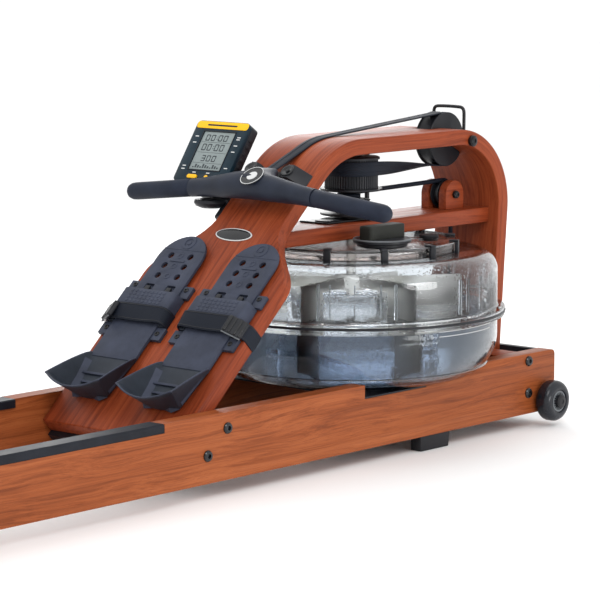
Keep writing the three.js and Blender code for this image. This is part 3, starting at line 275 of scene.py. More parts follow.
RAIL_TONES = ((0.22, 0.052, 0.014), (0.31, 0.078, 0.021), (0.39, 0.110, 0.034))
ARCH_TONES = ((0.18, 0.030, 0.009), (0.27, 0.050, 0.016), (0.35, 0.076, 0.026))
M = {
    "rail": wood("rail_wood", RAIL_TONES, gloss=0.34),
    "arch": wood("arch_wood", ARCH_TONES, "grain", gloss=0.36),
    "block": wood("block_wood", ARCH_TONES, gloss=0.3, offset=(3, 1, 2)),
    "edge": wood("end_wood", ARCH_TONES, gloss=0.3, offset=(7, 4, 1)),
    "black": moulded("black_plastic", (0.009, 0.010, 0.014), 0.42),
    "track": moulded("track_plastic", (0.009, 0.011, 0.017), 0.5, 500, 0.05, shine=0.15),
    "foot": moulded("foot_plastic", (0.036, 0.043, 0.068), 0.55, 1100, 0.2, shine=0.22),
    "handle": moulded("handle_rubber", (0.012, 0.017, 0.031), 0.5, 1300, 0.12, shine=0.25),
    "grip": moulded("grip_foam", (0.011, 0.016, 0.031), 0.62, 1600, 0.3, shine=0.22),
    "rubber": moulded("black_rubber", (0.009, 0.009, 0.012), 0.6, 700, 0.2),
    "steel": moulded("black_steel", (0.008, 0.008, 0.010), 0.34, 900, 0.04),
    "bright": moulded("zinc_steel", (0.6, 0.6, 0.6), 0.3, 900, 0.05, 0.1, metal=1.0),
    "web": woven("webbing", (0.007, 0.010, 0.018)),
    "vinyl": moulded("seat_vinyl", (0.012, 0.012, 0.014), 0.5, 420, 0.4),
    "shell": polycarbonate("smoked_polycarbonate", (0.775, 0.805, 0.83), 0.02, 0.4),
    # The lid's tint is partly its smoked grey and partly painted reflection: darkened and warmed
    # brown for the wood it reflects
    "lid": polycarbonate("lid_polycarbonate", (0.44, 0.41, 0.40), 0.08, 1.0),
    "inner": polycarbonate("inner_polycarbonate", (0.80, 0.82, 0.84), 0.10),
    "rib": polycarbonate("rib_polycarbonate", (0.85, 0.88, 0.90), 0.05),
    "blade": polycarbonate("blade_polycarbonate", (0.82, 0.80, 0.75), 0.3),
    "knob": moulded("adjuster_plastic", (0.012, 0.013, 0.010), 0.6, 800, 0.15),
    "ring": moulded("grey_plastic", (0.13, 0.14, 0.15), 0.45, 700, 0.08),
    "gloss": moulded("gloss_black", (0.004, 0.005, 0.007), 0.14, 500, 0.02, shine=0.5),
    "tyre": moulded("tyre_urethane", (0.007, 0.009, 0.014), 0.24, 600, 0.05, shine=0.4),
    "cup": moulded("cup_plastic", (0.018, 0.024, 0.036), 0.5, 1100, 0.15, shine=0.25),
    "yellow": moulded("yellow_plastic", (0.95, 0.52, 0.004), 0.38, 900, 0.05, 0.03),
    "face": moulded("monitor_plastic", (0.004, 0.018, 0.030), 0.34, 1200, 0.08, shine=0.2),
    "lcd": moulded("lcd_glass", (0.24, 0.28, 0.28), 0.2, 60, 0.0, 0.06),
    "digit": moulded("lcd_digit", (0.03, 0.04, 0.045), 0.3, 60, 0.0),
    "print": moulded("white_print", (0.65, 0.66, 0.66), 0.5, 60, 0.0, 0.05),
}

# ---------------------------------------------------------------------------------------
# Mesh helpers: shapes are (points, faces) pairs in millimetres, and closed
# ---------------------------------------------------------------------------------------

def add_bevel(obj, width, segments, angle=35):
    made = obj.modifiers.new("bevel", "BEVEL")
    made.width = width * MM
    made.segments = segments
    made.limit_method = "ANGLE"
    made.angle_limit = math.radians(angle)


def apply_modifiers(obj):
    depsgraph = bpy.context.evaluated_depsgraph_get()
    mesh = bpy.data.meshes.new_from_object(obj.evaluated_get(depsgraph))
    mesh.name = obj.name
    obj.modifiers.clear()
    obj.data = mesh


def shade_smooth(mesh):
    mesh.polygons.foreach_set("use_smooth", [True] * len(mesh.polygons))


def finish_mesh(obj, bevel=0.0, segments=3, angle=35, smooth_angle=35, subdivide=0):
    """Bevels the sharp edges, applies it, and shades the rounded surface smooth."""
    if bevel:
        add_bevel(obj, bevel, segments, angle)
    if subdivide:
        made = obj.modifiers.new("subdivide", "SUBSURF")
        made.levels = made.render_levels = subdivide
    if obj.modifiers:
        apply_modifiers(obj)
    shade_smooth(obj.data)
    obj.data.set_sharp_from_angle(angle=math.radians(smooth_angle))


def new_object(name, points, faces, scale=MM):
    """An object with a mesh of its own, linked to the scene."""
    mesh = bpy.data.meshes.new(name)
    mesh.from_pydata([Vector(p) * scale for p in points], [], faces)
    obj = bpy.data.objects.new(name, mesh)
    bpy.context.scene.collection.objects.link(obj)
    return obj


def turn_outwards(obj, weld=True):
    """Joins the points that coincide, if asked to, and points every face outwards."""
    work = bmesh.new()
    work.from_mesh(obj.data)
    if weld:
        bmesh.ops.remove_doubles(work, verts=work.verts, dist=WELD)
    bmesh.ops.recalc_face_normals(work, faces=work.faces)
    work.to_mesh(obj.data)
    work.free()


def piece(name, verts, faces, material, body, replaces=None, slot=None, matrix=None, **finish):
    """A closed mesh from points in millimetres, riding on a body."""
    if matrix is not None:
        verts = [matrix @ Vector(v) for v in verts]
    obj = new_object(name, verts, faces)
    obj.data.validate()
    turn_outwards(obj)
    obj.data.materials.append(material)
    finish_mesh(obj, **finish)
    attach(obj, body)
    if replaces:
        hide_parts(replaces)
    return obj


def prism(outline, low, high):
    """An outline of (u, v) pairs given depth along the third axis."""
    count = len(outline)
    verts = [(u, v, low) for u, v in outline] + [(u, v, high) for u, v in outline]
    faces = [tuple(range(count))[::-1], tuple(range(count, 2 * count))]
    faces += [(i, (i + 1) % count, (i + 1) % count + count, i + count) for i in range(count)]
    return verts, faces


def box_mesh(x0, x1, y0, y1, z0, z1):
    return prism([(x0, y0), (x1, y0), (x1, y1), (x0, y1)], z0, z1)


def skin(rings, count):
    """Faces of a tube made of rings of count points each, with a cap at either end."""
    faces = []
    for i in range(rings - 1):
        for k in range(count):
            a, b = count * i + k, count * i + (k + 1) % count
            faces.append((a, b, b + count, a + count))
    faces.append(tuple(range(count))[::-1])
    faces.append(tuple(range(count * (rings - 1), count * rings)))
    return faces


def lathe(profile, segments, notch=None):
    """A profile of (radius, height) pairs, closed here and turned about local Z."""
    profile = [*profile, profile[0]]
    count = len(profile)
    verts, faces = [], []
    for k in range(segments):
        angle = 2 * math.pi * k / segments
        for i, (r, z) in enumerate(profile):
            r -= notch(k, i) if notch else 0
            verts.append((r * math.cos(angle), r * math.sin(angle), z))
    for k in range(segments):
        j = (k + 1) % segments
        for i in range(count - 1):
            faces.append((k * count + i, j * count + i, j * count + i + 1, k * count + i + 1))
    return verts, faces


def sweep(points, radii, sides):
    """A round bar through points, with one radius at each."""
    points = [Vector(p) for p in points]
    verts = []
    side = Vector((0, 0, 1))
    for i, point in enumerate(points):
        along = (points[min(i + 1, len(points) - 1)] - points[max(i - 1, 0)]).normalized()
        side = side - along * side.dot(along)
        if side.length < 1e-3:
            side = Vector((1, 0, 0)) - along * along.x
        side.normalize()
        other = along.cross(side)
        for k in range(sides):
            angle = 2 * math.pi * k / sides
            verts.append(point + side * radii[i] * math.cos(angle)
                         + other * radii[i] * math.sin(angle))
    return verts, skin(len(points), sides)


def strip(frames, width, thickness, cross=((-1, -1), (1, -1), (1, 1), (-1, 1))):
    """A flat band along frames of (point, across, through)."""
    verts = [Vector(point) + Vector(across) * a * width / 2 + Vector(through) * t * thickness / 2
             for point, across, through in frames for a, t in cross]
    return verts, skin(len(frames), len(cross))


def ray(angle):
    """The direction at an angle in the machine's upright middle plane."""
    return Vector((math.cos(angle), 0, math.sin(angle)))


def flat_ray(angle):
    """The direction at an angle in a level plane."""
    return Vector((math.cos(angle), math.sin(angle), 0))


def arc(cx, cy, r, start, end, steps):
    return [(cx + r * math.cos(start + (end - start) * i / steps),
             cy + r * math.sin(start + (end - start) * i / steps)) for i in range(steps + 1)]


def rounded(x0, x1, y0, y1, r, steps=5):
    return (arc(x1 - r, y0 + r, r, -QUARTER, 0, steps)
            + arc(x1 - r, y1 - r, r, 0, QUARTER, steps)
            + arc(x0 + r, y1 - r, r, QUARTER, 2 * QUARTER, steps)
            + arc(x0 + r, y0 + r, r, 2 * QUARTER, 3 * QUARTER, steps))


def slab(x0, x1, y0, y1, r, low, high):
    """A box whose four edges along local Z are rounded."""
    return prism(rounded(x0, x1, y0, y1, r), low, high)


def merge(*parts):
    """Several (verts, faces) pairs as one."""
    verts, faces = [], []
    for part_verts, part_faces in parts:
        start = len(verts)
        verts += list(part_verts)
        faces += [tuple(i + start for i in face) for face in part_faces]
    return verts, faces


def moved(part, matrix):
    verts, faces = part
    return [matrix @ Vector(v) for v in verts], faces


def at(x, y, z):
    return Matrix.Translation(Vector((x, y, z)))


def along_y(x, y, z):
    """Local Z becomes +Y."""
    return at(x, y, z) @ Matrix.Rotation(-QUARTER, 4, "X")


def outwards(side, x, reach, z):
    """Local Z points away from the machine, at a distance from its middle on one side."""
    place = along_y(x, side * reach, z)
    return place if side > 0 else place @ Matrix.Rotation(math.pi, 4, "X")


def dress(node, material, bevel=0.0, segments=2):
    """Keeps a CAD node's shape: welds and bevels it by modifiers and gives it a material."""
    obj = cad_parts[node]
    obj.data.materials.clear()
    obj.data.materials.append(material)
    layer = obj.data.attributes.get("custom_normal")
    if layer:
        obj.data.attributes.remove(layer)
    shade_smooth(obj.data)
    weld = obj.modifiers.new("weld", "WELD")
    weld.merge_threshold = 1e-5
    if bevel:
        add_bevel(obj, bevel, segments)
    split = obj.modifiers.new("edge_split", "EDGE_SPLIT")
    split.split_angle = math.radians(35)
    split.use_edge_sharp = False


def hex_bolt(name, place, radius, height, body, material=M["steel"]):
    """A round-headed bolt with a hexagon socket; place carries local Z out of the surface."""
    sides, sixth = 24, math.pi / 3
    socket = radius * 0.5
    head = [(radius, 0), (radius, height * 0.45), (radius * 0.82, height * 0.9), (socket, height)]
    angles = [2 * math.pi * k / sides for k in range(sides)]
    verts = [(r * math.cos(a), r * math.sin(a), z) for r, z in head for a in angles]
    for z in (height, height * 0.35):
        for a in angles:
            r = socket * 0.9 * math.cos(sixth / 2) / math.cos(a % sixth - sixth / 2)
            verts.append((r * math.cos(a), r * math.sin(a), z))
    piece(name, verts, skin(len(verts) // sides, sides), material, body, matrix=place)


# ---------------------------------------------------------------------------------------
# Arch board: one bent plank whose grain follows the bend
# ---------------------------------------------------------------------------------------

def arch_stations():
    """(outer point, outward normal, distance along the board, half width) from foot to post."""
    out = []
    flare_from, flare_to = (-172, HALF_FOOT), (-34, HALF_TOP)

    def flare(t):
        handles = [flare_from, (-122, HALF_FOOT), (-96, HALF_TOP), flare_to]
        weights = [(1 - t) ** 3, 3 * t * (1 - t) ** 2, 3 * t * t * (1 - t), t ** 3]
        return tuple(sum(w * p[k] for w, p in zip(weights, handles)) for k in (0, 1))

    def bend(x, radius, first, turn, steps, run):
        centre = Vector((x, 0, TOP_Z - radius))
        for i in range(steps + 1):
            n = ray(first - turn * i / steps)
            out.append((centre + n * radius, n, run + radius * turn * i / steps, HALF_TOP))

    straight = [(LOW_END, HALF_FOOT), (-400, HALF_FOOT), (-300, HALF_FOOT), (-220, HALF_FOOT)]
    straight += [flare(i / 14) for i in range(15)]
    straight += [(0, HALF_TOP), (40, HALF_TOP)]
    for s, half in straight:
        out.append((on_board(s, 0, 0), OFF, s, half))
    tangent = (TOP_Z - FOOT_Z) / math.sin(SLOPE) - REAR_R * math.tan(SLOPE / 2)
    bend(REAR_X, REAR_R, QUARTER + SLOPE, SLOPE, 18, tangent)
    run = out[-1][2]
    for x in (700, 780, 860, SLOT[0], SLOT[0] + 20):
        out.append((Vector((x, 0, TOP_Z)), Vector((0, 0, 1)), run + x - REAR_X, HALF_TOP))
    run += FRONT_X - REAR_X
    bend(FRONT_X, FRONT_R, QUARTER, QUARTER + LEAN, 34, run)
    last, n, run, _ = out[-1]
    down = ray(-QUARTER - LEAN)
    for drop in (60, 130, 210, (last.z - 60) / math.cos(LEAN)):
        out.append((last + down * drop, n, run + drop, HALF_TOP))
    return out


def arch_board():
    """The plank, with the pulley's slot left out; each station has 4 points a side."""
    stations = arch_stations()
    slot = 20
    verts, grain, in_slot = [], [], []
    for p, n, s, half in stations:
        for depth in (0, THICK):
            for c in (-half, -slot, slot, half):
                q = p - n * depth
                verts.append((q.x, c, q.z))
                grain.append((s * MM, c * MM, depth * MM))
        in_slot.append(SLOT[0] - 1 <= p.x <= SLOT[1] and n.z > 0.1)
    faces = []
    for i in range(len(stations) - 1):
        a, b = 8 * i, 8 * (i + 1)
        opened = in_slot[i] and in_slot[i + 1]
        for c in range(3):
            if opened and c == 1:
                continue
            faces.append((a + c, a + c + 1, b + c + 1, b + c))
            faces.append((a + 4 + c, b + 4 + c, b + 5 + c, a + 5 + c))
        faces.append((a, b, b + 4, a + 4))
        faces.append((a + 3, a + 7, b + 7, b + 3))
        if opened:
            faces.append((a + 1, a + 5, b + 5, b + 1))
            faces.append((a + 2, b + 2, b + 6, a + 6))
            if not in_slot[i - 1]:
                faces.append((a + 1, a + 2, a + 6, a + 5))
            if i + 2 == len(stations) or not in_slot[i + 2]:
                faces.append((b + 1, b + 5, b + 6, b + 2))
    end = 8 * (len(stations) - 1)
    for c in range(3):
        faces.append((c, c + 4, c + 5, c + 1))
        faces.append((end + c, end + c + 1, end + c + 5, end + c + 4))
    obj = new_object("arch_plank", verts, faces)
    attribute = obj.data.attributes.new("grain", "FLOAT_VECTOR", "POINT")
    attribute.data.foreach_set("vector", np.array(grain, np.float32).ravel())
    turn_outwards(obj, weld=False)
    obj.data.materials.append(M["arch"])
    finish_mesh(obj, bevel=2.2, segments=3, angle=40)
    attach(obj, "base_frame")
    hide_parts("arch_board")


arch_board()

for node, bevel in (("arch_cross_beam", 2.0), ("post_base_block", 1.5),
                    ("pulley_bracket_right", 1.6), ("pulley_bracket_left", 1.6)):
    dress(node, M["block"], bevel, 3)
for name, _ in SIDES:
    dress(f"rail_{name}", M["rail"], 1.8, 3)
    dress(f"track_{name}", M["track"], 0.5)
    dress(f"foot_front_{name}", M["rubber"], 1.5)
dress("foot_rear_bar", M["rubber"], 1.5)
# The black tank_support_tray is painted shade: a dark plate put where shade falls under the tank
# in its recess
for node in ("rear_cross_panel", "front_cross_panel", "footboard_cross_block",
             "tank_support_tray"):
    dress(node, M["black"], 0.8)

# Bolts through the rails
RAIL_BOLTS = ((975, 119), (975, 62), (200, 107), (155, 69), (-1049, 95), (-1049, 50))
for name, side in SIDES:
    for i, (x, z) in enumerate(RAIL_BOLTS):
        place = outwards(side, x, RAIL_OUTER, z)
        hex_bolt(f"rail_bolt_{name}_{i + 1}", place, 9, 4.5, BASE, M["gloss"])

# ---------------------------------------------------------------------------------------
# Tank
# ---------------------------------------------------------------------------------------

BOWL_R, BOWL_Z, BEND, WALL = 252, 112.3, 72, 4
FLANGE_R, SHOULDER_R, SHOULDER_Z = 265, 32, 296
WATER_TOP = 212
AT_TANK = at(TANK_X, 0, 0)
CLIP_TURNS = [-152 + 30 * k for k in range(12)]


def bowl_corner(inset, start, end):
    """The bowl's round bottom corner, set in from its outer face."""
    return arc(BOWL_R - BEND, BOWL_Z + BEND, BEND - inset, start, end, 16)


def shoulder(inset, start, end):
    """The cover's round top corner, set in from its outer face."""
    return arc(BOWL_R - SHOULDER_R, SHOULDER_Z, SHOULDER_R - inset, start, end, 10)


def around_tank(degrees):
    return AT_TANK @ Matrix.Rotation(math.radians(degrees), 4, "Z")


def tank_shells():
    inside = BOWL_R - WALL
    lower = [(AXIS, BOWL_Z), *bowl_corner(0, -QUARTER, 0), (BOWL_R, 214), (BOWL_R + 2, 217.4),
             (FLANGE_R, 218.4), (FLANGE_R, 224), (inside, 224), *bowl_corner(WALL, 0, -QUARTER),
             (AXIS, BOWL_Z + WALL)]
    upper = [(inside, 226.6), (FLANGE_R, 226.6), (FLANGE_R, 232), (BOWL_R + 2, 233),
             (BOWL_R, 236), *shoulder(0, 0, QUARTER), (178, 328), (172, 328), (172, 324),
             *shoulder(WALL, QUARTER, 0)]
    piece("tank_bowl", *lathe(lower, 96), M["shell"], BASE, "tank_lower_shell", "smoked_tank",
          AT_TANK)
    piece("tank_cover", *lathe(upper, 96), M["shell"], BASE, "tank_upper_shell", "smoked_tank",
          AT_TANK)


def tank_water():
    """The water's own body fills the bowl up to just under the flange."""
    made = Nodes("water")
    swirl = made.noise(made.place(), 14, 4)
    made.set(Base_Color=(0.16, 0.20, 0.27, 1), Transmission_Weight=1.0, IOR=1.33,
             Roughness=0.02)
    made.bump(swirl, 0.25, 0.004)
    reach = BOWL_R - WALL - 1
    profile = [(AXIS, WATER_TOP), (reach - 0.5, WATER_TOP), (reach, WATER_TOP - 2),
               *bowl_corner(WALL + 1, 0, -QUARTER), (AXIS, BOWL_Z + WALL + 1)]
    piece("water", *lathe(profile, 80), made.material, BASE, slot="smoked_tank", matrix=AT_TANK)


def tank_rings():
    """The gasket's outer lip, the seal under the lid's rim and the bead round its top."""
    lip = [(264.8, 223), (266, 223), (266.3, 225.3), (266, 227.6), (264.8, 227.6)]
    seal = [(176, 325.4), (185.4, 325.4), (186, 326.4), (185.4, 327.6), (182.5, 328.2),
            (176, 328.2)]
    bead = [(182.2, 342.6), (184, 343), (184.4, 344.4), (183.4, 345.6), (181, 345.8),
            (181, 345.1), (182.2, 344.9)]
    for name, profile, look in (("gasket_lip", lip, "black"), ("lid_seal", seal, "black"),
                                ("lid_bead", bead, "inner")):
        piece(name, *lathe(profile, 96), M[look], BASE, matrix=AT_TANK)


def lid_clips():
    """The clips across the lid's rim, with the screws and nuts of the flange beside them."""
    for i, degrees in enumerate(CLIP_TURNS):
        turn = around_tank(degrees)
        clip = merge(box_mesh(182.3, 188, -6, 6, 321, 344),
                     box_mesh(172, 188, -6, 6, 345.2, 348.5))
        piece(f"lid_clip_{i + 1}", *clip, M["black"], BASE, matrix=turn, bevel=0.8)
        hook = box_mesh(182.6, 188, -4.5, 4.5, 343.5, 346)
        piece(f"lid_clip_hook_{i + 1}", *hook, M["black"], BASE, matrix=turn, bevel=0.6)
        place = turn @ Matrix.Rotation(0.035, 4, "Z") @ at(258.5, 0, 232)
        hex_bolt(f"flange_screw_{i + 1}", place, 3.2, 2.4, BASE, M["bright"])
        under = place @ at(0, 0, -13.6) @ Matrix.Rotation(math.pi, 4, "X")
        hex_bolt(f"flange_nut_{i + 1}", under, 3.0, 2.0, BASE, M["bright"])


def tank_marks():
    """Upright ribs inside the cover, two level lines, and the hoops under the bowl."""
    ribs = [(degrees, 2.2, 236) for degrees in CLIP_TURNS]
    ribs += [(first + 60 * k, half, low) for first, half, low in (
        (-147.5, 1, 238), (-128, 1, 240), (-78, 1.1, 238)) for k in range(6)]
    for i, (degrees, half, low) in enumerate(ribs):
        rib = box_mesh(243.4, 248.4, -half, half, low, SHOULDER_Z)
        piece(f"tank_rib_{i + 1}", *rib, M["rib"], BASE, matrix=around_tank(degrees), bevel=0.5)
    for i, z in enumerate((213, 205)):
        outs = [flat_ray(math.radians(-104 + 33 * k / 12)) for k in range(13)]
        frames = [(Vector((TANK_X, 0, z)) + out * (BOWL_R + 0.3), (0, 0, 1), out)
                  for out in outs]
        piece(f"level_line_{i + 1}", *strip(frames, 1.1, 0.5), M["print"], BASE)
    for i, (r, z) in enumerate(((233, 133), (215, 122), (190, 117.5))):
        hoop = [(r, z), (r + 3, z + 1.5), (r + 1, z + 4.5), (r - 2, z + 3)]
        piece(f"bowl_hoop_{i + 1}", *lathe(hoop, 96), M["rib"], BASE, matrix=AT_TANK)


tank_shells()
dress("tank_gasket", M["rubber"])
dress("inner_tank", M["inner"])
dress("tank_lid", M["lid"], 0.6)
tank_water()
tank_rings()
lid_clips()
tank_marks()
dress("filler_plug", M["rubber"], 1.0)
dress("impeller", M["blade"], 0.6)


def adjuster():
    here = at(KNOB_X, KNOB_Y, LID_TOP)
    grip = slab(-45, 45, -15, 15, 7, 11, 37)
    skirt = [(AXIS, 0.3), (40, 0.3), (43, 2), (43, 6), (47, 7), (49, 8), (49, 12.4),
             (47, 13.6), (40, 14), (AXIS, 14)]
    piece("adjuster_grip", *grip, M["knob"], "adjuster", "adjuster_knob", "black_plastic",
          here, bevel=2.5)
    piece("adjuster_skirt", *lathe(skirt, 64), M["black"], "adjuster", matrix=here)
    ring = [(46.5, 13.3), (48.6, 12.9), (49.3, 11.8), (49.5, 13.2), (48.6, 14.2), (46.5, 14.4)]
    piece("adjuster_scale_ring", *lathe(ring, 64), M["ring"], "adjuster", matrix=here)


adjuster()

# ---------------------------------------------------------------------------------------
# Drum, pulleys, cord and belt
# ---------------------------------------------------------------------------------------

def ribbed_drum():
    """The belt drum: fine upright ribs round its barrel, a lip above and a flange below."""
    ribs, steps_per_rib, depth = 61, 4, 1.5
    r = DRUM_R
    barrel = [(r, 433.5), (r, 482.5)]
    profile = [(8.3, 411), (32, 411), (33, 413), (31, 414), (SPOOL_R, 414.5), (SPOOL_R, 429),
               (52, 429.2), (54, 430.5), (53.5, 433), *barrel, (r + 3, 483),
               (r + 3, 486), (r, 487.5), (20, 487.5), (18, 489), (8.3, 489)]
    first = profile.index(barrel[0])

    def groove(turn, corner):
        return depth if corner in (first, first + 1) and turn % steps_per_rib < 2 else 0

    drum = lathe(profile, ribs * steps_per_rib, groove)
    piece("drum_barrel", *drum, M["black"], "drum", "belt_drum", "black_plastic", AT_TANK)


ribbed_drum()


def spoked_disc(name, body, node, x, z, hub, rim, half, lip):
    """A grooved pulley with ribs between its hub and its rim."""
    spokes = 6
    profile = [(5.4, -half), (rim - 1, -half), (rim, -half + 1), (rim, -lip - 0.6),
               (hub, -lip + 0.6), (hub, lip - 0.6), (rim, lip + 0.6), (rim, half - 1),
               (rim - 1, half), (rim - 5, half), (rim - 7, half - 2), (14, half - 2),
               (12, half + 1.5), (5.4, half + 1.5)]
    place = along_y(x, 0, z)
    piece(name, *lathe(profile, 72), M["black"], body, node, "black_plastic", place)
    for i in range(spokes):
        turn = place @ Matrix.Rotation(2 * math.pi * i / spokes, 4, "Z")
        rib = box_mesh(13, rim - 6.5, -1.5, 1.5, half - 2.5, half - 0.4)
        piece(f"{name}_rib_{i + 1}", *rib, M["black"], body, matrix=turn, bevel=0.5)


CORD_WHEEL = (19.2, 25, 8, 5.2)
spoked_disc("belt_pulley_disc", "belt_wheel", "belt_pulley", PULLEY_X, PULLEY_Z,
            PULLEY_HUB, 48, 17, 15)
spoked_disc("upper_cord_pulley", "upper_cord_wheel", "bungee_pulley", CORD_X, CORD_Z,
            *CORD_WHEEL)
spoked_disc("lower_cord_pulley", "lower_cord_wheel", "base_pulley", CORD_X, BASE_Z,
            *CORD_WHEEL)
for node, bevel in (("base_pulley_axle", 0), ("shaft_housing", 0.8), ("tie_rod", 0),
                    ("belt_guard_wire", 0), ("bungee_pulley_axle", 0.8),
                    ("belt_pulley_axle", 0.8), ("wheel_axle", 0.8)):
    dress(node, M["steel"], bevel)
for name, side in SIDES:
    for part, x, reach, z, radius, height in (
            ("bracket", CORD_X, 33.3, CORD_Z, 6, 2.4), ("arch", PULLEY_X, 78.8, PULLEY_Z, 8, 2.2),
            ("wheel", WHEEL_X, 220.8, WHEEL_Z, 10, 1.2)):
        hex_bolt(f"{part}_bolt_{name}", outwards(side, x, reach, z), radius, height, BASE)

# The sensor board clipped on the beam, beside the shaft
plate = slab(614, 650, -26, 2, 3, 382.6, 384.4)
piece("sensor_plate", *plate, M["black"], BASE, bevel=0.6)


def belt_frames():
    """Drum, quarter twist, pulley, the board's bend and on to the handle."""
    frames = []
    drum = DRUM_R + WRAP_GAP + HALF_BELT
    pulley = PULLEY_HUB + WRAP_GAP + HALF_BELT
    bend = REAR_R + 0.6 + HALF_BELT
    begin = math.radians(110)
    leave = 2 * math.pi - math.acos(drum / (PULLEY_X - TANK_X))
    up = Vector((0, 0, 1))
    for i in range(29):
        out = flat_ray(begin + (leave - begin) * i / 28)
        frames.append((Vector((TANK_X, 0, BELT_Z)) + out * drum, up, out))
    start, _, outward = frames[-1]
    end = Vector((PULLEY_X, 0, PULLEY_Z - pulley))
    heading = (end - start).normalized()
    for i in range(1, 24):
        part = i / 24
        turn = Matrix.Rotation(min(1, part / 0.9) * QUARTER, 3, heading)
        frames.append((start.lerp(end, part), turn @ up, turn @ outward))
    bend_z = TOP_Z - REAR_R
    dx, dz = PULLEY_X - REAR_X, PULLEY_Z - bend_z
    tilt = math.atan2(dz, dx) - math.asin((bend - pulley) / math.hypot(dx, dz))
    normal = QUARTER + tilt
    nx, nz = NOSE_X - REAR_X, NOSE_Z - bend_z
    last = math.atan2(nz, nx) - math.acos(bend / math.hypot(nx, nz))
    across = Vector((0, -1, 0))
    for x, z, radius, first, final, steps in (
            (PULLEY_X, PULLEY_Z, pulley, -QUARTER, normal, 30),
            (REAR_X, bend_z, bend, normal, last, 12)):
        for i in range(steps + 1):
            out = ray(first + (final - first) * i / steps)
            frames.append((Vector((x, 0, z)) + out * radius, across, out))
    leave_point, _, out = frames[-1]
    nose = Vector((NOSE_X, 0, NOSE_Z))
    for i in range(1, 33):
        frames.append((leave_point.lerp(nose, i / 32), across, out))
    return frames, leave_point, nose


def drive_belt():
    frames, leave_point, nose = belt_frames()
    cross = [(-1, -0.5), (-0.9, -1), (0.9, -1), (1, -0.5), (1, 0.5), (0.9, 1), (0.45, 1),
             (0.4, 0.6), (-0.4, 0.6), (-0.45, 1), (-0.9, 1), (-1, 0.5)]
    verts, faces = strip(frames, 24, 2.6, cross)
    obj = new_object("belt_webbing", verts, faces)
    obj.data.materials.append(M["web"])
    finish_mesh(obj, smooth_angle=40)
    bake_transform(obj)
    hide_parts("drive_belt")


drive_belt()


def bungee():
    thick = 4.0
    spool = SPOOL_R + WRAP_GAP + thick
    points = [Vector((TANK_X, 0, SPOOL_Z)) + flat_ray(a) * spool
              for a in np.linspace(math.radians(260), QUARTER, 15)]
    points += [Vector((TANK_X + 60 * k, spool * (1 - k * 0.25), SPOOL_Z + 1.8 * k))
               for k in (1, 2, 3)]
    points += [Vector((CORD_X, 0, CORD_Z)) + ray(a) * CORD_RUN
               for a in np.linspace(QUARTER, 0, 9)]
    points += [Vector((CORD_X + CORD_RUN, 0, z)) for z in (300, 200, 110)]
    points += [Vector((CORD_X, 0, BASE_Z)) + ray(a) * CORD_RUN
               for a in np.linspace(0, math.radians(-88), 9)]
    anchor = on_board(-470, 0, -THICK - 33)
    start = points[-1]
    points += [start.lerp(anchor, k) for k in (0.25, 0.5, 0.75, 1)]
    piece("bungee", *sweep(points, [thick] * len(points), 12), M["web"], BASE, "bungee_cord",
          "webbing")


bungee()

# ---------------------------------------------------------------------------------------
# Handle and its rest
# ---------------------------------------------------------------------------------------

HUB, GRIP_R = 137, 15


def on_bar(y):
    reach = abs(y)
    bent = min(reach, HUB / 4)
    run = reach - bent + bent * bent / (HUB / 2)
    return Vector((BAR_X + math.tan(SWEEP) * run, y, BAR_Z - math.tan(DROOP) * run))


def handle_hub():
    """One moulded skin: a swollen bar that flows into the neck the belt hangs on."""
    direction = Vector((NOSE_X - BAR_X, 0, NOSE_Z - BAR_Z))
    length = direction.length + 2
    direction.normalize()
    off = Vector((-direction.z, 0, direction.x))
    rings, count = 49, 32
    verts = []
    for i in range(rings):
        y = HUB * (i / (rings - 1) * 2 - 1)
        centre = on_bar(y)
        radius = GRIP_R + 0.6 + 8 * math.cos(y / HUB * QUARTER) ** 2
        reach = max(radius, length * neck(abs(y)))
        for k in range(count):
            angle = 2 * math.pi * k / count
            a, b = math.cos(angle), math.sin(angle)
            forward = reach if a > 0 else radius
            thin = radius * (1 - 0.55 * max(a, 0) * min(1, (forward - radius) / 25))
            verts.append(centre + direction * forward * a + off * thin * b)
    piece("handle_body", verts, skin(rings, count), M["handle"], "handle", "handle_hub",
          "foot_plastic", smooth_angle=60)


def neck(y):
    """How much of the full length the skin reaches forward at this distance from centre."""
    if y < 15:
        return 1.0
    return max(0.0, 1 - (y - 15) / 78) ** 1.9 * 0.86 + 0.14 * max(0.0, 1 - (y - 15) / 10)


handle_hub()


def grip(name, side):
    points = [on_bar(side * y) for y in (HUB + 0.6, HUB + 1.4, 210, 272, 280, 285.5, 289,
                                         290.6, 291.2)]
    radii = [GRIP_R - 1, GRIP_R, GRIP_R, GRIP_R, 14.4, 12.4, 9.4, 6, 1.5]
    piece(f"grip_sleeve_{name}", *sweep(points, radii, 40), M["grip"], "handle",
          f"grip_{name}", "grip_foam", smooth_angle=60)


for name, side in SIDES:
    grip(name, side)

# The round badge on the hub, left blank
facing = Vector((-0.60, 0, 0.80)).normalized()
badge_place = Matrix.Translation(Vector((BAR_X, -14, BAR_Z - 1.5)) + facing * 22.6)
badge_place = badge_place @ facing.to_track_quat("Z", "Y").to_matrix().to_4x4()
disc = [(AXIS, 0), (21, 0), (21.6, 0.8), (21, 1.6), (19.6, 1.6), (19.4, 1.2), (AXIS, 1.2)]
rim = [(20.0, 1.3), (21, 1.3), (21.1, 1.9), (20.0, 1.9)]
centre = [(AXIS, 1.2), (9.6, 1.2), (9.4, 1.8), (AXIS, 1.8)]
for name, profile, segments, look in (("", disc, 64, "gloss"), ("_ring", rim, 64, "print"),
                                      ("_centre", centre, 48, "print")):
    piece(f"handle_badge{name}", *lathe(profile, segments), M[look], "handle",
          matrix=badge_place)

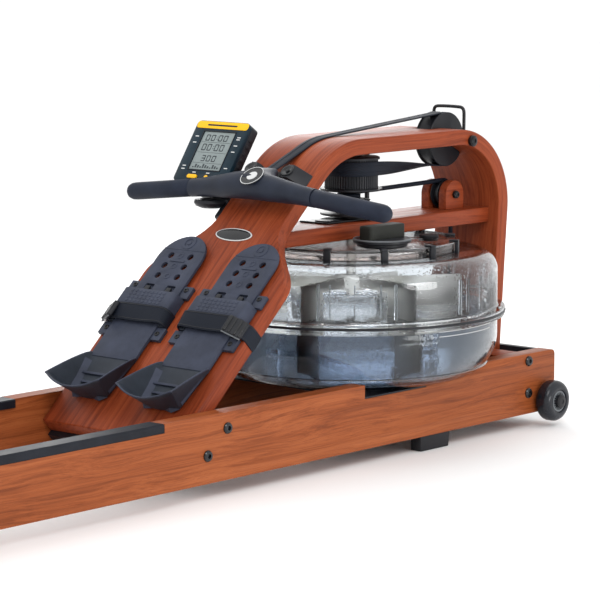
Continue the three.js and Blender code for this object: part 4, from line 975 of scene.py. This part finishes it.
dress("handle_rest", M["black"], 1.5, 3)
socket = [(AXIS, 0), (11.5, 0), (12, 0.8), (11.4, 1.8), (9, 2), (7.6, 1), (AXIS, 0.7)]
pin = [(AXIS, 0.8), (3.4, 0.8), (3.2, 1.7), (AXIS, 1.9)]
for name, side in SIDES:
    place = ON_BOARD @ at(50, side * 41, 26.8)
    piece(f"rest_socket_{name}", *lathe(socket, 40), M["gloss"], BASE, matrix=place)
    piece(f"rest_pin_{name}", *lathe(pin, 24), M["steel"], BASE, matrix=place)

# The oval plate on the board, left blank
oval = [(13.5 * math.cos(a), 40 * math.sin(a)) for a in np.linspace(0, 2 * math.pi, 49)[:-1]]
inner_oval = [(0.86 * u, 0.94 * v) for u, v in oval]
badge_place = ON_BOARD @ at(-74.4, 12, 0)
piece("board_badge_rim", *prism(oval, 0.2, 1.6), M["print"], BASE,
      matrix=badge_place, bevel=0.4)
piece("board_badge", *prism(inner_oval, 1.0, 2.1), M["gloss"], BASE,
      matrix=badge_place, bevel=0.3)

# ---------------------------------------------------------------------------------------
# Foot plates
# ---------------------------------------------------------------------------------------

SOLE_LOW, SOLE_TOP = 4.3, 9.3     # heights off the board
SOLE_ROWS = (-137, -159, -181)    # three rows of holes
PAD_LOW, PAD_HIGH = -259, -222    # the strap's pad along the board
WEB_LOW, WEB_HIGH = -284, -255    # and its webbing


def at_foot(name):
    return ON_BOARD @ at(0, FOOT_Y[name], 0)


def cup_side(t, y):
    """The scoop's edge along one side, from its open end at 0 to the back corner at 1."""
    return Vector((-352 - 85 * t, y + 9 * t ** 0.7, 9.4 + 47.6 * t ** 0.85))


def cup_back(u, x, y):
    """The scoop's bowed edge across the back, from the corner at 1 to the middle at 0."""
    return Vector((x + 19 * u * u, y * u, 54 + 3 * u * u))


def heel_cup_mesh():
    """A scoop with a sharp corner at each side and a bowed back; local Z off the board."""
    rows, side_steps, back_steps, wall = 7, 9, 12, 3.2
    stations = []
    for i in range(side_steps):
        t = i / side_steps
        foot = Vector((-352 - 79 * t, 50 - 9 * t, SOLE_LOW))
        stations.append((foot, cup_side(t, 52), Vector((0, -wall, 0))))
    for i in range(back_steps + 1):
        u = 1 - i / back_steps
        foot = Vector((-439 + 8 * u * u, 41 * u, SOLE_LOW))
        stations.append((foot, cup_back(u, -456, 61), Vector((wall, -wall * u ** 6, 0))))
    flip = Vector((1, -1, 1))
    stations += [(f * flip, r * flip, o * flip) for f, r, o in stations[-2::-1]]
    columns = len(stations)
    verts, faces = [], []
    for sheet in (0, 1):
        for foot, rim, inward in stations:
            low = foot + sheet * (inward + Vector((0, 0, 4)))
            high = rim + sheet * inward
            verts += [low.lerp(high, r / (rows - 1)) for r in range(rows)]
    size = rows * columns
    for sheet in (0, 1):
        for k in range(columns - 1):
            for r in range(rows - 1):
                a = sheet * size + k * rows + r
                faces.append((a, a + rows, a + rows + 1, a + 1))
    for k in range(columns - 1):
        a, b = k * rows + rows - 1, size + k * rows + rows - 1
        faces.append((a, a + rows, b + rows, b))
    for k in (0, columns - 1):
        for r in range(rows - 1):
            a, b = k * rows + r, size + k * rows + r
            faces.append((a, b, b + 1, a + 1))
    faces.append(tuple(k * rows for k in range(columns)))
    faces.append(tuple(size + k * rows for k in range(columns)))
    a, b = 0, (columns - 1) * rows
    faces.append((a, b, size + b, size + a))
    return verts, faces


def sole_outline():
    top = [(-143, -50)] + arc(-143, 0, 50, -QUARTER, QUARTER, 20)[1:-1] + [(-143, 50)]
    return [(-358, -50)] + top + [(-358, 50)]


def cut_holes(obj, cutters):
    """Cuts closed cutters out of a piece with exact booleans, then drops the cutters."""
    for cutter in cutters:
        made = obj.modifiers.new("cut", "BOOLEAN")
        made.operation = "DIFFERENCE"
        made.solver = "EXACT"
        made.object = cutter
    apply_modifiers(obj)
    for cutter in cutters:
        bpy.data.objects.remove(cutter)


def cutter_from(part, matrix):
    obj = new_object("cutter", *moved(part, matrix))
    turn_outwards(obj)
    return obj


def circle(x, y, r, steps=24):
    return [(x + r * math.cos(2 * math.pi * i / steps), y + r * math.sin(2 * math.pi * i / steps))
            for i in range(steps)]


def foot_plate(name):
    here, body, mark_z = at_foot(name), f"heel_{name}", SOLE_TOP - 0.1

    def add(label, shape, look="foot", number="", place=here, **finish):
        piece(f"{label}_{name}{number}", *shape, M[look], body, matrix=place, **finish)

    sole = piece(f"sole_{name}", *prism(sole_outline(), SOLE_LOW, SOLE_TOP), M["foot"], body,
                 f"heel_plate_{name}", "foot_plastic", here)
    holes = [circle(x, y, 6.3) for x in SOLE_ROWS for y in (-22, 22)]
    holes += [rounded(-212, -200, y - 10, y + 10, 3) for y in (-24, 24)]
    cut_holes(sole, [cutter_from(prism(hole, 0, 20), here) for hole in holes])
    finish_mesh(sole, bevel=0.7, segments=2, angle=40)
    ring = [(8, mark_z), (14, mark_z), (13.6, 10.3), (12, 10.6), (10, 10.6), (8.4, 10.3)]
    stud = [(AXIS, mark_z), (4.5, mark_z), (4.2, 10.4), (AXIS, 10.4)]
    mark = [(3.4, mark_z), (6, mark_z), (5.6, 10.1), (3.8, 10.1)]
    add("sole_ring", lathe(ring, 48), place=here @ at(-108, 0, 0))
    add("sole_stud", lathe(stud, 32), place=here @ at(-108, 0, 0))
    for i, x in enumerate(SOLE_ROWS):
        add("sole_mark", lathe(mark, 32), number=f"_{i + 1}", place=here @ at(x, 0, 0))
    add("sole_bar", slab(-150, -146.6, -16, 16, 1.6, mark_z, 10.8), bevel=0.4)
    add("sole_line", slab(-124, -122, -46, 46, 0.9, mark_z, 9.9), bevel=0.2)
    for i, y in enumerate((-24, 24)):
        latch = slab(-217, -206, y - 5, y + 5, 2, 7.4, 12)
        add("sole_latch", latch, "black", f"_{i + 1}", bevel=0.8)
    add("heel_cup", heel_cup_mesh(), "cup", bevel=0.7, segments=2, angle=50, smooth_angle=40)
    rim = heel_rim()
    add("heel_rim", sweep(rim, [1.5] * len(rim), 8), smooth_angle=60)
    for i, (x, half) in enumerate(((-394, 40), (-412, 30))):
        rib = slab(x - 2.2, x + 2.2, -half, half, 1.5, 8.2, 11.6)
        add("heel_rib", rib, number=f"_{i + 1}", bevel=0.5)
    for i, way in enumerate((-1, 1)):
        gusset = ([(-368, way * 38, 8.2), (-426, way * 29, 8.2), (-426, way * 45, 8.2),
                   (-368, way * 50, 8.2), (-368, way * 50.5, 17), (-426, way * 46, 17)],
                  [(0, 1, 2, 3), (0, 4, 5, 1), (3, 2, 5, 4), (0, 3, 4), (1, 5, 2)])
        facet = ([(-431.4, way * 41, 4.4), (-437, way * 8, 4.4), (-435, way * 26, 20),
                  (-442, way * 30, 6)],
                 [(0, 1, 2), (0, 3, 1), (0, 2, 3), (1, 3, 2)])
        add("heel_gusset", gusset, number=f"_{i + 1}", smooth_angle=10)
        add("heel_facet", facet, number=f"_{i + 1}", smooth_angle=10)


def heel_rim():
    """The line along the top of the heel scoop, from one open end to the other."""
    line = [cup_side(k / 10, 51) for k in range(11)]
    line += [cup_back(1 - k / 12, -454.5, 60) for k in range(1, 13)]
    return line + [Vector((p.x, -p.y, p.z)) for p in line[-2::-1]]


for name, _ in SIDES:
    foot_plate(name)


def band(foot, crown, top, thickness, low, bend):
    """Outline, in (y, off) pairs, of a band that stands up, crosses over and comes down."""
    def whole(inset):
        right = [(foot - inset, low)]
        right += arc(crown - bend, top - bend, bend - inset, 0.2, QUARTER, 8)
        return right + [(-y, z) for y, z in reversed(right)]
    return whole(0) + whole(thickness)[::-1]


def lengthwise(outline, x0, x1, rows=2, sag=None):
    """A (y, off) outline given length along the board, with rows of points between."""
    verts = []
    for r in range(rows):
        t = r / (rows - 1)
        verts += [(x0 + (x1 - x0) * t, y, z + (sag(t, y, z) if sag else 0)) for y, z in outline]
    return verts, skin(rows, len(outline))


def tabbed_base(name):
    dress(f"foot_base_{name}", M["foot"], 0.9, 2)
    for i, (x, y) in enumerate(((-204, -58), (-204, 58), (-297.5, -58), (-297.5, 58))):
        place = at_foot(name) @ at(x, y, 7)
        hex_bolt(f"foot_screw_{name}_{i + 1}", place, 4.6, 2.0, BASE)


def along_line(points, thickness, lift=0.0):
    """Closed outline of a band of some thickness whose outer face follows a line of points."""
    outer, inner = [], []
    for i, (u, v) in enumerate(points):
        before, after = points[max(i - 1, 0)], points[min(i + 1, len(points) - 1)]
        du, dv = after[0] - before[0], after[1] - before[1]
        length = math.hypot(du, dv)
        nu, nv = -dv / length, du / length
        outer.append((u + nu * lift, v + nv * lift))
        inner.append((u + nu * (lift - thickness), v + nv * (lift - thickness)))
    return outer + inner[::-1]


def foot_strap(name, side):
    here = at_foot(name)
    low = 0.6

    def add(label, shape, look, number="", **finish):
        piece(f"{label}_{name}{number}", *shape, M[look], BASE, matrix=here, **finish)

    pad = band(63, 60, 23, 4, low, 8)
    add("strap_pad", lengthwise(pad, PAD_LOW, PAD_HIGH), "foot",
        replaces=f"foot_strap_{name}", slot="webbing", bevel=1.2, segments=2, angle=45)
    line = [(-65.5, low), (-65, 9), (-63.5, 17), (-59, 23), (-50, 25.6), (-23, 26), (0, 26),
            (30, 25.8), (46, 24.6), (56, 21.5), (64, 16.5), (71, 9.5), (76.2, 1.5), (77.6, -7),
            (77.6, -26)]
    line = [(side * y, z) for y, z in line[::side]]

    def sag(t, y, z):
        """The webbing hangs lower towards the heel, most of all in its middle."""
        return -9.5 * (1 - t) ** 1.3 * max(0, 1 - (y / 76) ** 2) if z > 12 else 0

    webbing = lengthwise(along_line(line, 2.6), WEB_LOW, WEB_HIGH, 8, sag)
    add("strap_webbing", webbing, "web", slot="webbing", bevel=0.5, segments=2, angle=45)
    seam = along_line(line[1:-1], 0.9, 0.45)
    for i, t in enumerate((0.09, 0.91)):
        x = WEB_LOW + (WEB_HIGH - WEB_LOW) * t
        stitches = lengthwise(seam, x - 0.5, x + 0.5, 2, lambda _, y, z, t=t: sag(t, y, z))
        add("strap_seam", stitches, "black", f"_{i + 1}")
    for i, y in enumerate((-56.75, 56.75)):
        anchor = box_mesh(WEB_LOW, -266, y - 5.25, y + 5.25, low, 10)
        add("strap_anchor", anchor, "cup", f"_{i + 1}", bevel=1.5)
    rng = random.Random(3)
    stud = box_mesh(-2.2, 2.2, -2.8, 2.8, 0, 0.9)
    studs = [moved(stud, at(-228 - r * 7 + rng.uniform(-0.2, 0.2), -36 + c * 9, 22.7))
             for r in range(4) for c in range(9)]
    add("pad_studs", merge(*studs), "foot", bevel=0.3)
    buckle(name, side, here)


def buckle(name, side, here):
    """A ribbed buckle draped over the strap's outer corner, and a ring on the left strap."""
    at_corner = here @ at(0, side * 59, 17.5)
    at_corner = at_corner @ Matrix.Rotation(-side * math.radians(33), 4, "X")
    shell = slab(-288, -256, -18, 18, 4, -3, 4)
    piece(f"buckle_shell_{name}", *shell, M["black"], BASE, matrix=at_corner, bevel=2,
          segments=3)
    for i, dy in enumerate((-13, -5, 5, 13)):
        rib = slab(-286.5, -257.5, dy - 2, dy + 2, 1.6, 3.4, 5.8)
        piece(f"buckle_rib_{name}_{i + 1}", *rib, M["gloss"], BASE, matrix=at_corner, bevel=0.8)
    # Painted highlight: a grey bar along the buckle's lower edge stands in for the light glinting
    # off that edge
    lip = box_mesh(-290, -287.4, -17, 17, 0, 2.4)
    piece(f"buckle_painted_highlight_{name}", *lip, M["ring"], BASE, matrix=at_corner, bevel=0.8)
    if side > 0:
        loop = [(-273 + 15 * math.cos(a), 0, 14 + 9 * math.sin(a))
                for a in np.linspace(0, 2 * math.pi, 41)]
        ring = sweep(loop, [3.0] * len(loop), 10)
        place = here @ at(0, 66, 0) @ Matrix.Rotation(0.35, 4, "X")
        piece(f"strap_ring_{name}", *ring, M["bright"], BASE, matrix=place, smooth_angle=60)


for name, side in SIDES:
    tabbed_base(name)
    foot_strap(name, side)

# ---------------------------------------------------------------------------------------
# Monitor
# ---------------------------------------------------------------------------------------

TILT = math.radians(55.8)
FACE = Matrix((
    (0, math.cos(TILT), -math.sin(TILT), 476.5),
    (-1, 0, 0, 142.5),
    (0, math.sin(TILT), math.cos(TILT), 449.8),
    (0, 0, 0, 1),
))


def monitor():
    body = "monitor"
    dress("monitor_back", M["black"], 2.0, 3)
    dress("monitor_bezel", M["face"], 1.0, 2)
    dress("monitor_arm", M["black"], 1.2, 2)
    dress("button_select", M["yellow"], 0.5)
    dress("button_reset", M["yellow"], 0.5)
    yellow = slab(-59, 59, 104.5, 118, 5, -0.3, 0.7)
    piece("monitor_band", *yellow, M["yellow"], body, matrix=FACE, bevel=0.3)
    stripe = slab(-34, 34, 109.4, 112.4, 1.2, 0.5, 0.95)
    piece("monitor_band_line", *stripe, M["face"], body, matrix=FACE)
    screen = slab(-35.6, 35.6, 24.4, 98.6, 2, -1.9, -0.9)
    piece("screen", *screen, M["lcd"], body, matrix=FACE, bevel=0.2)
    bars = ((-37.5, 37.5, 22.8, 24.2), (-37.5, 37.5, 98.8, 100.2),
            (-37.6, -36.2, 22.8, 100.2), (36.2, 37.6, 22.8, 100.2))
    surround = merge(*(box_mesh(*bar, -0.5, 0.8) for bar in bars))
    piece("screen_frame", *surround, M["black"], body, matrix=FACE)
    segments_on_screen(body)
    for i in range(7):
        rib = box_mesh(59.2, 61.4, 12 + 13 * i, 18 + 13 * i, -20, -11)
        mirror = box_mesh(-61.4, -59.2, 12 + 13 * i, 18 + 13 * i, -20, -11)
        piece(f"monitor_side_rib_{i + 1}", *merge(rib, mirror), M["black"], body, matrix=FACE,
              bevel=0.5)
    ticks = [(-48, 88), (-48, 76), (-48, 30), (-48, 24), (48, 90), (48, 86), (48, 74), (48, 62),
             (48, 30), (-19, 18.5), (13, 18.5)]
    for i, (x, y) in enumerate(ticks):
        tick = slab(x - 4, x + 4, y - 0.9, y + 0.9, 0.7, -0.1, 0.25)
        piece(f"monitor_tick_{i + 1}", *tick, M["print"], body, matrix=FACE)


def segments_on_screen(body):
    """Seven-segment clock digits and a row of bars on the display."""
    shapes = {"0": "abcdef", "3": "abgcd"}
    parts = []

    def bar(x, y, w, h):
        parts.append(box_mesh(x, x + w, y, y + h, -0.95, -0.7))

    def digit(char, x, y, w, h):
        t = w * 0.2
        for s in shapes[char]:
            if s in "agd":
                bar(x + t * 0.6, y + {"a": h - t, "g": (h - t) / 2, "d": 0}[s], w - 1.2 * t, t)
            else:
                right = s in "bc"
                upper = s in "bf"
                bar(x + (w - t if right else 0), y + (h / 2 + 0.3 if upper else 0.6), t,
                    h / 2 - 0.9)

    for text, x, y, h in (("00:00", -27, 81, 12), ("00:00", -27, 62, 13), ("300", -18, 41, 12)):
        for char in text:
            if char == ":":
                bar(x + 0.8, y + h * 0.28, 1.6, 1.6)
                bar(x + 0.8, y + h * 0.62, 1.6, 1.6)
                x += 4.4
            else:
                digit(char, x, y, 9, h)
                x += 12.2
    for i in range(11):
        bar(-30 + 5.6 * i, 28, 3.6, 2 + (i * 5) % 7)
    for y in (37.5, 58, 78):
        bar(-33, y, 66, 0.5)
    piece("screen_digits", *merge(*parts), M["digit"], body, matrix=FACE)


monitor()

# ---------------------------------------------------------------------------------------
# Transport wheels and seat
# ---------------------------------------------------------------------------------------

def transport_wheel(name, side):
    profile = [(5.4, 0.6), (17, 0.6), (18.5, 0), (24, 0)]
    profile += arc(24, 12, 12, -QUARTER, 0, 12) + arc(24, 20, 12, 0, QUARTER, 12)
    profile += [(22.5, 32), (20.5, 31.4), (19.8, 29.4), (9.5, 29), (8.5, 31.5), (5.4, 31.8)]
    place = outwards(side, WHEEL_X, 184.5, WHEEL_Z)
    body = f"transport_wheel_{name}"
    piece(f"tyre_{name}", *lathe(profile, 72), M["tyre"], body, f"wheel_{name}", "rubber", place)
    ring = [(15.4, 28.8), (18.6, 28.8), (18.4, 30.4), (15.8, 30.6)]
    piece(f"wheel_ring_{name}", *lathe(ring, 48), M["ring"], body, matrix=place)
    for i in range(18):
        tooth = box_mesh(11.4, 16.4, -0.9, 0.9, 28.8, 30.2)
        turn = place @ Matrix.Rotation(2 * math.pi * i / 18, 4, "Z")
        piece(f"wheel_tooth_{name}_{i + 1}", *tooth, M["ring"], body, matrix=turn, bevel=0.3)


for name, side in SIDES:
    transport_wheel(name, side)


def seat():
    body = "seat"
    dress("seat_frame", M["steel"], 1.2)
    low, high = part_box("seat_cushion")
    middle = (low + high) / 2 / MM
    half_x, half_y = (high.x - low.x) / 2 / MM, (high.y - low.y) / 2 / MM
    ring = 72
    verts = []

    def outline(k):
        a = 2 * math.pi * k / ring
        c, s = math.cos(a), math.sin(a)
        power = 2 / 3.4
        x = math.copysign(abs(c) ** power, c) * half_x
        y = math.copysign(abs(s) ** power, s) * half_y
        y *= 1 - 0.09 * (x / half_x + 1) / 2
        if x < 0:
            x += 26 * math.exp(-(y / 42) ** 2) * (-x / half_x) ** 2
        return x, y

    base, top = low.z / MM, high.z / MM
    levels = [(0.90, base), (0.965, base + 3), (0.995, base + 10), (1.0, base + 20),
              (1.0, base + 30), (0.985, base + 40), (0.95, base + 48), (0.88, base + 53.5),
              (0.76, base + 56.5), (0.55, base + 57.5), (0.3, base + 56.5), (0.12, base + 56)]
    for scale, z in levels:
        for k in range(ring):
            x, y = outline(k)
            dip = 0
            if z > base + 45:
                for dy in (-62, 62):
                    px, py = x * scale + 22, y * scale - dy
                    dip += 5.5 * math.exp(-(px * px / 3600 + py * py / 1900))
                dip += 4 * math.exp(-((y * scale) / 20) ** 2) * (0.5 - x * scale / half_x / 2)
            verts.append((middle.x + x * scale, middle.y + y * scale, min(z - dip, top)))
    cushion = piece("seat_pad", verts, skin(len(levels), ring), M["vinyl"], body,
                    "seat_cushion", "seat_vinyl", smooth_angle=60, subdivide=1)
    edge = [outline(k % ring) for k in range(ring + 1)]
    piping = [(middle.x + x * 0.985, middle.y + y * 0.985, base + 5) for x, y in edge]
    piece("seat_piping", *sweep(piping, [2.4] * len(piping), 8),
          M["black"], body, smooth_angle=60)
    profile = [(5.4, 0), (20, 0), (22, 0.6), (24, 2.4), (24, 15.6), (22, 17.4), (20, 18),
               (18.5, 16.5), (11, 16.2), (9.5, 18), (5.4, 18)]
    for end, x in (("rear", SEAT_X - ROLLER_REACH), ("front", SEAT_X + ROLLER_REACH)):
        for name, side in SIDES:
            piece(f"seat_tyre_{end}_{name}", *lathe(profile, 56), M["rubber"],
                  f"roller_{end}_{name}", f"seat_roller_{end}_{name}", "rubber",
                  outwards(side, x, 157, ROLLER_Z))


seat()

# ---------------------------------------------------------------------------------------
# Floor and light
# ---------------------------------------------------------------------------------------

reach, drop = 14, -0.0005         # metres; the floor lies just under the feet
corners = [(-reach, -reach, drop), (reach, -reach, drop), (reach, reach, drop),
           (-reach, reach, drop)]
floor = new_object("floor", corners, [(0, 1, 2, 3)], scale=1)
paint = Nodes("floor_paint")
paint.set(Base_Color=(0.95, 0.95, 0.95, 1), Roughness=0.75)
floor.data.materials.append(paint.material)

world = bpy.data.worlds.new("studio")
bpy.context.scene.world = world
world.use_nodes = True
sky = world.node_tree.nodes["Background"]
sky.inputs["Color"].default_value = (1, 1, 1, 1)
sky.inputs["Strength"].default_value = 1.08
bpy.context.scene.view_settings.view_transform = "Standard"
bpy.context.scene.view_settings.look = "None"


def softbox(name, place, aim, size, power, shape="RECTANGLE"):
    light = bpy.data.lights.new(name, "AREA")
    light.shape = shape
    light.size, light.size_y = size
    light.energy = power
    obj = bpy.data.objects.new(name, light)
    bpy.context.scene.collection.objects.link(obj)
    obj.location = place
    obj.rotation_euler = (Vector(aim) - Vector(place)).to_track_quat("-Z", "Y").to_euler()


softbox("key", (-1.2, -2.6, 3.0), (0.4, 0, 0.2), (1.6, 1.6), 40)
softbox("top", (1.0, 0.6, 3.2), (0.6, 0, 0.3), (2.0, 2.0), 10)
softbox("edge", (3.0, 2.4, 1.6), (0.7, 0, 0.3), (1.2, 2.0), 25)
softbox("low", (0.93, -2.9, 0.2), (0.7, 0, 0.2), (1.5, 0.24), 12, "ELLIPSE")
